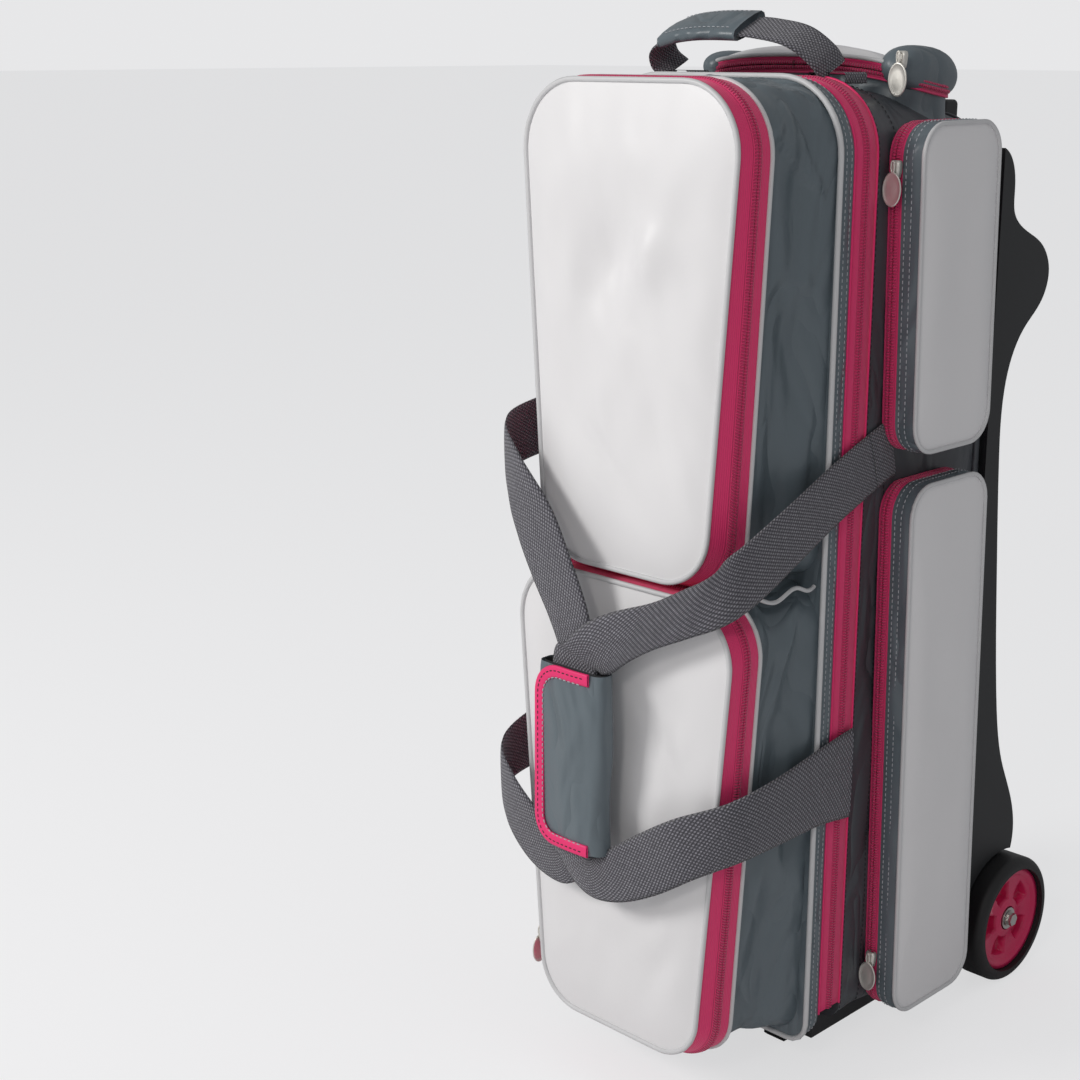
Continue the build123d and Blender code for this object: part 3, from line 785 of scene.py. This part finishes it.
X_AXIS = np.array([1.0, 0, 0])
for hand, s in (("right", 1), ("left", -1)):
    for which in ("upper", "lower"):
        r = side_ring(which)
        n3 = normals_side(r)
        tag = f"side {hand} {which}"
        outward_x = np.broadcast_to(s * X_AXIS, (len(r), 3))
        parts = [half_zip("tape", facing_side(r, s * ZIP_X), -outward_x, n3, 6.6, closed=True)]
        floor_rings = [facing_side(side_ring(which, d), s * (BASE + 0.6)) for d in (1.0, -30, -50)]
        parts.append(skin("base", floor_rings, "lining", flip=s < 0))
        join(f"{tag} casing cloth", parts, "bag", [f"side_pocket_{hand}_{which}"], padded=0.4, slot="grey_pu")
        parts = [half_zip("tape", facing_side(r, s * (ZIP_X + 0.3)), outward_x, n3, 9.0, closed=True)]
        rings = []
        for x in np.linspace(GUSSET - 1, RIM_X, 9):
            k = math.sin(math.pi * (x - GUSSET + 1) / (RIM_X - GUSSET + 1))
            p = facing_side(r, s * x) + n3 * (1.2 + 1.0 * k)
            rings.append(rumple(p, n3, 1.6, 40, 2.0, k))
        parts.append(skin("gusset", rings, "grey", flip=s > 0))
        for x in (GUSSET + 3, GUSSET + 9):
            parts.append(stitches("stitches", facing_side(r, s * x) + n3 * 2.4, n3, closed=True))
        edge = facing_side(side_ring(which, 0.8), s * (RIM_X + 0.6))
        parts.append(tube("piping", edge, 2.0, "piping", closed=True))
        (a, b), (c, _), (e, h), (g, _) = SIDE[which]
        mid = (s * RIM_X, (a + c + e + g) / 4, (b + h) / 2)
        parts.append(panel("face", facing_side(r, s * RIM_X), mid, 4.5, "white", s * X_AXIS,
                           rings=16, wrinkle=side_folds))
        inside = ((ZIP_X + 1, -2.5), (RIM_X - 2, -2.5), (RIM_X - 2, -50))
        rings = [facing_side(side_ring(which, d), s * x) for x, d in inside]
        parts.append(skin("flap lining", rings, "lining"))
        join(f"{tag} door cloth", parts, f"side_flap_{hand}_{which}", [f"side_door_{hand}_{which}"],
             padded=0.6, slot="white_pu")


# ------------------------------------------------------------------ top pocket
def body_top(y):
    return HIGH + (HIGH_BACK - HIGH) * (y - MOUTH) / (BACK - MOUTH)


def top_z(p):
    """Height of the top pocket's zipper seam."""
    return 888 - 0.16 * (p[1] - 4) - 10 * (abs(p[0] + 5) / 111) ** 3


def base_height(p):
    """Height of the body's rounded top under a point of the pocket's wall."""
    past = max(0, abs(p[0]) - 65)
    return body_top(p[1]) - (TOP_R - math.sqrt(max(0, TOP_R ** 2 - past ** 2))) - 2


r = rounded([(-116, 4), (106, 4), (106, 92), (-116, 92)], [32] * 4, 200)
n2 = outward(r)
n3 = np.stack([n2[:, 0], n2[:, 1], np.zeros(len(r))], 1)
seam_z = np.array([top_z(p) for p in r])
base_z = np.array([base_height(p) for p in r])
rings = []
for t in np.linspace(0, 1, 9):
    z = base_z + (seam_z - base_z) * t
    p = np.stack([r[:, 0], r[:, 1], z], 1) - n3 * (2.0 * math.sin(math.pi * t))
    rings.append(rumple(p, n3, 3.0, 30, 1.0, math.sin(math.pi * t)))
parts = [skin("pocket wall", rings, "grey")]
seam = np.stack([r[:, 0], r[:, 1], seam_z], 1)
down = np.broadcast_to((0, 0, -1.0), seam.shape)
parts.append(half_zip("tape", seam, down, n3, 7.0, closed=True))
caps = []
for sx in (1, -1):
    u, w = np.meshgrid(np.linspace(0, 2 * math.pi, 40, endpoint=False), np.linspace(-1, 1, 18))
    fat = np.cos(w * math.pi / 2) ** 0.5
    ball = [np.stack([np.full(40, (91 if sx > 0 else -101) + 17.5 * math.sin(b * math.pi / 2)),
                      48 + 47 * f * np.sign(np.cos(a)) * np.abs(np.cos(a)) ** 0.8,
                      882 + (22 if sx > 0 else 17) * f * np.sin(a) - 0.10 * 47 * f * np.cos(a)], 1)
            for a, b, f in zip(u, w[:, 0], fat[:, 0])]
    caps.append(skin("end cap", ball, "grey"))
parts += caps
join("top pocket cloth", parts, "bag", ["top_pocket"], padded=0.4, slot="grey_pu")
parts = [half_zip("tape", seam + (0, 0, 0.4), -down, n3, 8.0, closed=True)]
edge = np.stack([r[:, 0], r[:, 1], seam_z + 8.5], 1) + n3 * 0.5
parts.append(tube("piping", edge, 1.9, "piping", closed=True))
parts.append(panel("lid top", edge - n3 * 0.8, (-5, 48, 889), 11.0, "white", (0, 0, 1.0),
                   rings=18, wrinkle=top_folds))
join("top pocket lid cloth", parts, "top_flap", ["top_pocket_lid"], padded=0.6, slot="white_pu")

# ------------------------------------------------------------------ carry handle
LEAN = math.radians(25)


def handle_point(x, u):
    return np.array([x - 16, -40 - u * math.sin(LEAN + 0.2), 877 + u * math.cos(LEAN)])


def smooth_run(points, n):
    """A Catmull-Rom curve through points, with n samples."""
    p = np.asarray(points, float)
    p = np.r_[[2 * p[0] - p[1]], p, [2 * p[-1] - p[-2]]]
    seg = len(p) - 3
    out = []
    for s in np.linspace(0, seg - 1e-9, n):
        i = int(s)
        t = s - i
        a, b, c, d = p[i:i + 4]
        square, cube = 2 * a - 5 * b + 4 * c - d, 3 * b - a - 3 * c + d
        out.append(0.5 * (2 * b + (c - a) * t + square * t * t + cube * t ** 3))
    return np.array(out)


def flat_profile(width, thick, n=12):
    """A flat band's cross-section with soft edges."""
    w, h = width / 2, thick / 2
    top = [(x, h * (1 - abs(x / w) ** 10)) for x in np.linspace(-w, w, n)]
    return top + [(x, -y) for x, y in reversed(top[1:-1])]


arc = [(-84, 8), (-92, 18), (-86, 33), (-60, 43), (-30, 47), (6, 47), (32, 45), (62, 38), (80, 22), (85, 8)]
path = smooth_run([handle_point(x, u) for x, u in arc], 90)
w = np.array([0, -math.cos(LEAN), -math.sin(LEAN)])
across = np.broadcast_to(w, path.shape)
t = np.gradient(path, axis=0)
t /= np.linalg.norm(t, axis=1)[:, None]
nrm = np.cross(across, t)
nrm *= np.sign(nrm[45] @ np.array([0, 0, 1.0]))
web = sweep("handle web", path, across, nrm, flat_profile(38, 3), "webbing")
join("carry handle webbing", [web], "carry_handle", ["top_handle_webbing"], slot="webbing")
i0, i1 = 26, 54
pp, pa, pn = path[i0:i1], across[i0:i1], nrm[i0:i1]
wrap = [(-19, -4), (-10, -5.5), (0, -6), (10, -5.5), (19, -4), (22, -1.5), (22, 2.5), (19, 5.5),
        (10, 6.8), (0, 7.2), (-10, 6.8), (-19, 5.5), (-22, 2.5), (-22, -1.5)]
pad = sweep("pad", pp, pa, pn, wrap, "grey")
rows = [pad]
for a, h in ((-15.5, 6.4), (15.5, 6.4)):
    rows.append(stitches("pad stitches", pp[1:-1] + pa[1:-1] * a + pn[1:-1] * h, pn[1:-1]))
join("carry handle pad", rows, "carry_handle", ["top_handle_pad"], padded=0.5, slot="grey_pu")

# ------------------------------------------------------------------ carry straps and grip wrap
STRAP_W = 52.0
# each stop of a strap: its middle, the way its width runs, the way its face looks, half its width
RIGHT = [
    ((127.6, -46, 566), (0, -0.3, 1), (1, 0, 0), 26),
    ((132, -104, 548), (0, -0.4, 1), (1, 0, 0), 26), ((133, -170, 520), (0, -0.45, 1), (1, -0.1, 0), 26),
    ((128, -218, 496), (0.1, -0.3, 1), (1, -0.5, 0), 26),
    ((106, -240, 476), (0.4, -0.1, 1), (0.4, -1, 0), 29),
    ((76, -248, 459), (0.5, 0, 1), (0.2, -1, 0), 31), ((46, -252, 441), (0.4, 0, 1), (0.1, -1, 0), 31),
    ((16, -255, 426), (-0.1, 0, 1), (0, -1, 0), 26), ((-8, -257, 412), (-0.9, 0, 0.5), (0, -1, 0), 20),
    ((-16, -257, 396), (-1, 0, 0), (0, -1, 0), 26), ((-16, -257, 250), (-1, 0, 0), (0, -1, 0), 26),
    ((-12, -257, 232), (-0.9, 0, -0.5), (0, -1, 0), 22), ((4, -256, 216), (-0.1, 0, -1), (0, -1, 0), 19),
    ((30, -255, 224), (0.45, 0, -0.9), (0, -1, 0), 23), ((60, -251, 242), (0.5, 0, -0.85), (0, -1, 0), 26),
    ((96, -243, 266), (0.4, 0.1, -1), (0.4, -1, 0), 27), ((126, -216, 281), (0.1, 0.2, -1), (1, -0.5, 0), 28),
    ((134, -170, 288), (0, 0.1, -1), (1, -0.1, 0), 31), ((132.5, -110, 292), (0, 0.02, -1), (1, 0, 0), 36),
    ((128.5, -58, 290), (0, 0, -1), (1, 0, 0), 42),
]
LEFT = [
    ((-127.6, -46, 588), (0, 0.1, 1), (-1, 0, 0), 26), ((-133, -104, 586), (0, -0.1, 1), (-1, 0, 0), 26),
    ((-136, -170, 580), (0, -0.2, 1), (-1, -0.1, 0), 26),
    ((-130, -222, 570), (-0.1, -0.25, 1), (-1, -0.5, 0), 26),
    ((-104, -242, 548), (0.4, -0.1, 1), (-0.4, -1, 0), 26),
    ((-74, -247, 514), (0.8, 0, 0.75), (0, -1, 0), 26),
    ((-50, -250, 478), (0.85, 0, 0.55), (0, -1, 0), 26), ((-30, -251, 444), (0.9, 0, 0.4), (0, -1, 0), 24),
    ((-18, -252, 414), (1, 0, 0.1), (0, -1, 0), 22), ((-16, -252, 396), (1, 0, 0), (0, -1, 0), 26),
    ((-16, -252, 250), (1, 0, 0), (0, -1, 0), 26), ((-20, -252, 232), (0.9, 0, -0.5), (0, -1, 0), 22),
    ((-36, -252, 214), (0.1, 0, -1), (0, -1, 0), 19), ((-66, -251, 226), (-0.5, 0, -0.85), (0, -1, 0), 24),
    ((-106, -246, 254), (-0.3, 0.1, -1), (-0.4, -1, 0), 26),
    ((-132, -226, 276), (-0.1, 0.2, -1), (-1, -0.5, 0), 26),
    ((-138, -170, 288), (0, 0.1, -1), (-1, -0.1, 0), 29), ((-134, -110, 291), (0, 0.02, -1), (-1, 0, 0), 33),
    ((-128.5, -58, 290), (0, 0, -1), (-1, 0, 0), 38),
]


def strap(name, run, samples=320):
    c = smooth_run([k[0] for k in run], samples)
    face = smooth_run([np.array(k[2], float) / np.linalg.norm(k[2]) for k in run], samples)
    face /= np.linalg.norm(face, axis=1)[:, None]
    wide = smooth_run([np.array(k[1], float) / np.linalg.norm(k[1]) for k in run], samples)
    wide -= face * (wide * face).sum(1)[:, None]
    wide /= np.linalg.norm(wide, axis=1)[:, None]
    half = smooth_run([(k[3], 0, 0) for k in run], samples)[:, 0]
    n, prof = samples, flat_profile(1.0, 2.6, 15)
    length = np.r_[0, np.cumsum(np.linalg.norm(np.diff(c, axis=0), axis=1))]
    v, uv, f, m = [], [], [], len(prof)
    for a, h in prof:
        # the webbing cups a little between its ends
        cup = (0.25 - a * a) * 5.0 * np.sin(np.pi * np.linspace(0, 1, n)) ** 0.5
        v.append(c + wide * (a * 2 * half)[:, None] + face * (h + cup)[:, None])
        uv.append(np.stack([length, np.full(n, a * STRAP_W)], 1))
    for j in range(m):
        k = (j + 1) % m
        f += [(j * n + i, j * n + i + 1, k * n + i + 1, k * n + i) for i in range(n - 1)]
    f += [tuple(j * n for j in range(m))[::-1], tuple(j * n + n - 1 for j in range(m))]
    return make(name, np.concatenate(v), f, "webbing", uv=np.concatenate(uv))


for hand, run in (("right", RIGHT), ("left", LEFT)):
    join(f"strap {hand} webbing", [strap("web", run)], f"strap_loop_{hand}", [f"strap_{hand}"],
         slot="webbing")

# the upper right strap's end, sewn flat on the body up to the side pocket
TAIL = [
    ((126.6, -17, 574), (0, -0.25, 1), (1, 0, 0), 26),
    ((127.0, -31, 570.5), (0, -0.28, 1), (1, 0, 0), 26),
    ((127.6, -45.5, 566.2), (0, -0.3, 1), (1, 0, 0), 26),
]
join("strap right sewn end", [strap("web", TAIL, 24)], "bag", slot="webbing")

# the wrap: middle and half width over X, foot and top, front and back
WX, WH, W0, W1, WF, WB = -15.0, 38.0, 240.0, 401.0, -265.5, -244.5


def swell(p):
    """The rolled front of the wrap stands forward in its middle."""
    p = np.array(p, float)
    side = 1 - np.clip(np.abs(p[:, 0] - WX - 3) / WH, 0, 1) ** 2
    ends = np.clip(1 - (np.abs(p[:, 2] - (W0 + W1) / 2) / ((W1 - W0) / 2)) ** 6, 0, 1)
    p[:, 1] -= np.where(p[:, 1] < (WF + WB) / 2, 5.0 * side * (0.5 + 0.5 * ends), 0)
    return p


ring = rounded([(WX - WH, WF), (WX + WH, WF), (WX + WH, WB), (WX - WH, WB)], [7, 10.4, 10.4, 7], 140)
n2 = outward(ring)
rings = []
for z in np.linspace(W0, W1, 34):
    k = math.sin(math.pi * (z - W0) / (W1 - W0)) ** 0.4
    p = np.stack([ring[:, 0], ring[:, 1], np.full(len(ring), z)], 1)
    n3 = np.stack([n2[:, 0], n2[:, 1], np.zeros(len(ring))], 1)
    rings.append(swell(rumple(p - n3 * (1.4 * (1 - k)), n3, 3.2, 40, 6.0, k, (1.0, 1.0, 0.6))))
parts = [skin("wrap", rings, "grey")]
mid_y = (WF + WB) / 2
inner_x, inner_y = ring[:, 0] * 0.9 + WX * 0.1, (ring[:, 1] - mid_y) * 0.6 + mid_y
hollow = [np.stack([inner_x, inner_y, np.full(len(ring), z)], 1) for z in (W0, W1)]
parts.append(skin("wrap inside", hollow, "lining", flip=True))


def three_sides(left, right, end, radii, stop, y):
    """A run up the wrap's left side and across its top and bottom, inset by left, right and end."""
    x0, x1, z0, z1 = WX - WH + left, WX + WH - right, W0 + end, W1 - end
    ring = rounded([(x0, z0), (x1, z0), (x1, z1), (x0, z1)], radii, 220)
    keep = np.array([k for k in range(len(ring)) if ring[k, 0] < WX + WH - stop])
    keep = np.roll(keep, -int(np.argmax(np.diff(keep) > 1)) - 1)
    return swell(facing_front(ring, y)[keep])


# pink binding round the flap's edge, with a row of stitches inside it
edge = three_sides(4, 6, 3, [20, 6, 6, 26], 12, WF - 0.2)
along = np.gradient(edge, axis=0)
along /= np.linalg.norm(along, axis=1)[:, None]
fold = [(-4.5, -0.5), (-4.2, 1.2), (-3, 1.7), (0, 1.9), (4, 1.7), (6.2, 1.2), (6.5, -0.5)]
parts.append(sweep("binding", edge, np.cross(along, (0, 1, 0)), np.broadcast_to((0, -1.0, 0), edge.shape),
                   fold, "binding"))
parts.append(stitches("binding stitches", edge + (0, -2.0, 0), (0, -1, 0), "seam"))
inside = three_sides(10, 12, 9, [16, 5, 5, 20], 16, WF - 1.0)
parts.append(stitches("wrap stitches", inside, (0, -1, 0)))
join("grip wrap cloth", parts, "strap_loop_right", ["grip_wrap"], padded=0.5, slot="grey_pu")

# ------------------------------------------------------------------ wheel discs
AXLE_Y, AXLE_Z = 203.0, 63.5


def disc_depth(r, a):
    """How far the disc's face lies behind its outer plane: a dish with five spokes between slots."""
    dish = 2.5 + 2.5 * math.sin(math.pi * min(max((r - 14) / 32, 0), 1))
    turn = (a * 5 / (2 * math.pi)) % 1 - 0.5
    wide = 0.30 - 0.05 * (r - 28) / 14
    edge = min((wide - abs(turn)) * 2 * math.pi * r / 5, r - 20, 39 - r)
    return dish + 9 * min(max(edge / 1.5, 0), 1)


for hand, s in (("right", 1), ("left", -1)):
    lo, hi = (np.array(k) * 1000 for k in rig.box(f"wheel_hub_{hand}"))
    radii = np.r_[12.2, 13.5, np.linspace(14.5, 44, 40), 46, 48.5, 51.8]
    turns = np.linspace(0, 2 * math.pi, 200, endpoint=False)
    faces = []
    for out in (1, -1):
        plane = (hi if out * s > 0 else lo)[0]
        rings = [np.stack([[plane - out * s * (0.3 if r > 45 else disc_depth(r, a)) for a in turns],
                           AXLE_Y + r * np.cos(turns), AXLE_Z + r * np.sin(turns)], 1) for r in radii]
        faces.append(rings)
    rings = faces[0] + faces[1][::-1]
    rings.append(rings[0])
    disc = skin("disc", rings, "hub", flip=s < 0)
    join(f"wheel disc {hand}", [disc], f"wheel_{hand}", [f"wheel_hub_{hand}"], slot="pink_plastic")

# ------------------------------------------------------------------ hard pieces
PULLS = {
    "side_right_upper": ((135, -43.4, 808), (0, -1)), "side_right_lower": ((135, -22.2, 100), (0, -1)),
    "side_left_upper": ((-135, -43.4, 808), (0, -1)), "side_left_lower": ((-135, -22.2, 100), (0, -1)),
    "front_upper": ((-103.6, -205, 505), (-1, 0)), "front_lower": ((-104.2, -205, 104), (-1, 0)),
    "top": ((106, -0.6, 893), (0, -1)),
}
SLIDER_SHAPE = [  # height, half width, half depth
    (-7, 2.6, 2.2), (-6.6, 3.6, 3.0), (-3, 4.2, 3.4), (0, 4.6, 3.5), (4, 4.9, 3.4), (6.4, 4.4, 2.8),
    (7, 3.0, 1.6),
]
BRIDGE_SHAPE = [(-4.5, 3.0), (-3.8, 3.8), (0, 4.2), (4.6, 4.2), (5.8, 3.8), (6.2, 3.0)]  # height, reach
TAG_SHAPE = [  # share of the oval, height over its middle plane
    (0.02, -0.55), (0.7, -0.6), (0.93, -0.7), (0.985, -0.5), (1.0, 0), (0.985, 0.5), (0.93, 0.8),
    (0.86, 0.62), (0.8, 0.35), (0.5, 0.45), (0.02, 0.6),
]
for name, (at, (fx, fy)) in PULLS.items():
    at, up = np.array(at, float), np.array((0, 0, 1.0))
    out, side = np.array((fx, fy, 0.0)), np.array((-fy, fx, 0.0))
    # slider: a waisted body with two horns and a bridge over its front
    rings = []
    for z, w, d in SLIDER_SHAPE:
        a = np.linspace(0, 2 * math.pi, 28, endpoint=False)
        c, q = (np.sign(k) * np.abs(k) ** 0.6 for k in (np.cos(a), np.sin(a)))
        rings.append(at + side * (w * c)[:, None] + out * (d * q)[:, None] + up * z)
    parts = [skin("slider body", rings, "nickel")]
    bow = [at + up * z + out * h for z, h in BRIDGE_SHAPE]
    parts.append(tube("bridge", smooth_run(bow, 24), 0.8, "nickel", up=side))
    parent = "bag" if name == "top" else f"pull_{name}"
    join(f"slider {name} metal", parts, parent, [f"slider_{name}"], slot="nickel")
    # tag: an oval plate with a rolled rim and a hollow face, hung from an eye
    hang = at + out * 5.1
    a = np.linspace(0, 2 * math.pi, 64, endpoint=False)
    rings = []
    for k, h in TAG_SHAPE:
        oval = side * (9 * k * np.cos(a))[:, None] + up * (14 * k * np.sin(a))[:, None]
        rings.append(hang + up * -16 + oval + out * h)
    parts = [skin("tag plate", rings, "nickel")]
    b = np.linspace(0, 2 * math.pi, 40, endpoint=False)
    eye = hang + side * (1.7 * np.cos(b))[:, None] + up * (2.0 + 4.6 * np.sin(b))[:, None]
    parts.append(tube("eye", eye, 0.7, "nickel", closed=True, up=out))
    join(f"tag {name} metal", parts, f"tag_{name}", [f"tag_{name}"], slot="nickel")

NODE_MATS = {
    "base_tray": "black", "front_feet": "rubber", "back_board": "lining", "back_shell": "black",
    "back_rail_right": "black", "back_rail_left": "black", "axle": "steel",
    "ball_cradle_lower": "foam", "ball_cradle_middle": "foam", "ball_cradle_upper": "foam",
    "lid_panel": "lining",
    "handle_outer_tubes": "aluminium", "handle_inner_tubes": "aluminium", "handle_collar": "black",
    "handle_grip": "black", "release_button": "black",
    "tyre_right": "rubber", "tyre_left": "rubber", "bearings_right": "steel", "bearings_left": "steel",
}
for name, kind in NODE_MATS.items():
    slots = frame["nodes"][name].data.materials
    slots.clear()
    slots.append(MATS[kind])

# ------------------------------------------------------------------ stage, light, camera
scene = bpy.context.scene
scene.view_settings.view_transform = "Standard"
scene.view_settings.look = "None"


def stage_material(name, seen, lit):
    """Pale to the camera, and a plain tone to everything else."""
    m = bpy.data.materials.new(name)
    m.use_nodes = True
    t = m.node_tree
    b = t.nodes["Principled BSDF"]
    b.inputs["Base Color"].default_value = (*lit, 1)
    b.inputs["Roughness"].default_value = 0.9
    b.inputs["Specular IOR Level"].default_value = 0.1
    glow = node(t, "ShaderNodeEmission", Color=(*seen, 1), Strength=1.0)
    ray = node(t, "ShaderNodeLightPath")
    share = math_node(t, "MULTIPLY", ray.outputs["Is Camera Ray"], 0.66)
    both = node(t, "ShaderNodeMixShader")
    t.links.new(share, both.inputs[0])
    t.links.new(b.outputs[0], both.inputs[1])
    t.links.new(glow.outputs[0], both.inputs[2])
    t.links.new(both.outputs[0], t.nodes["Material Output"].inputs["Surface"])
    return m


FAR = 60000
corners = [(-FAR, -FAR, 0), (FAR, -FAR, 0), (FAR, FAR, 0), (-FAR, FAR, 0)]
floor = make("floor", corners, [(0, 1, 2, 3)], "white", smooth=False)
floor.data.materials[0] = stage_material("floor", (0.97, 0.97, 0.98), (0.86, 0.86, 0.87))
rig.stage(floor)

world = bpy.data.worlds.new("studio")
scene.world = world
world.use_nodes = True
wt = world.node_tree
bg = wt.nodes["Background"]
bg.inputs["Color"].default_value = (0.93, 0.94, 0.96, 1)
bg.inputs["Strength"].default_value = 0.37
seen = node(wt, "ShaderNodeBackground", Color=(0.80, 0.80, 0.81, 1), Strength=1.0)
path_node = node(wt, "ShaderNodeLightPath")
mixer = node(wt, "ShaderNodeMixShader")
wt.links.new(path_node.outputs["Is Camera Ray"], mixer.inputs[0])
wt.links.new(bg.outputs[0], mixer.inputs[1])
wt.links.new(seen.outputs[0], mixer.inputs[2])
wt.links.new(mixer.outputs[0], wt.nodes["World Output"].inputs["Surface"])


def area(name, at, to, size, power, colour=(1, 1, 1)):
    d = bpy.data.lights.new(name, "AREA")
    d.energy, d.size, d.color = power, size, colour
    o = bpy.data.objects.new(name, d)
    scene.collection.objects.link(o)
    o.location = at
    o.rotation_euler = (Vector(to) - Vector(at)).to_track_quat("-Z", "Y").to_euler()


area("key", (-1.3, -2.7, 2.0), (0, -0.1, 0.5), 0.9, 50, (1.0, 0.99, 0.97))
area("side", (1.15, -2.9, 2.2), (0, -0.1, 0.5), 0.5, 13, (1.0, 0.96, 0.92))

cam_data = bpy.data.cameras.new("camera")
cam_data.sensor_width = 36.0
cam_data.lens = 1850 / 1080 * 36
cam = bpy.data.objects.new("camera", cam_data)
scene.collection.objects.link(cam)
scene.camera = cam
cam.location = (1.004, -1.318, 0.905)
a, p = math.radians(45), math.radians(15)
look = Vector((-math.sin(a) * math.cos(p), math.cos(a) * math.cos(p), -math.sin(p)))
cam.rotation_euler = look.to_track_quat("-Z", "Y").to_euler()

size_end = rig.bounds()


def plain(b):
    return [list(map(float, k)) for k in b]


try:
    json.dump({"start": plain(size_start), "end": plain(size_end)}, open("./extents.json", "w"))
except TypeError:
    json.dump({"start": repr(size_start), "end": repr(size_end)}, open("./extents.json", "w"))
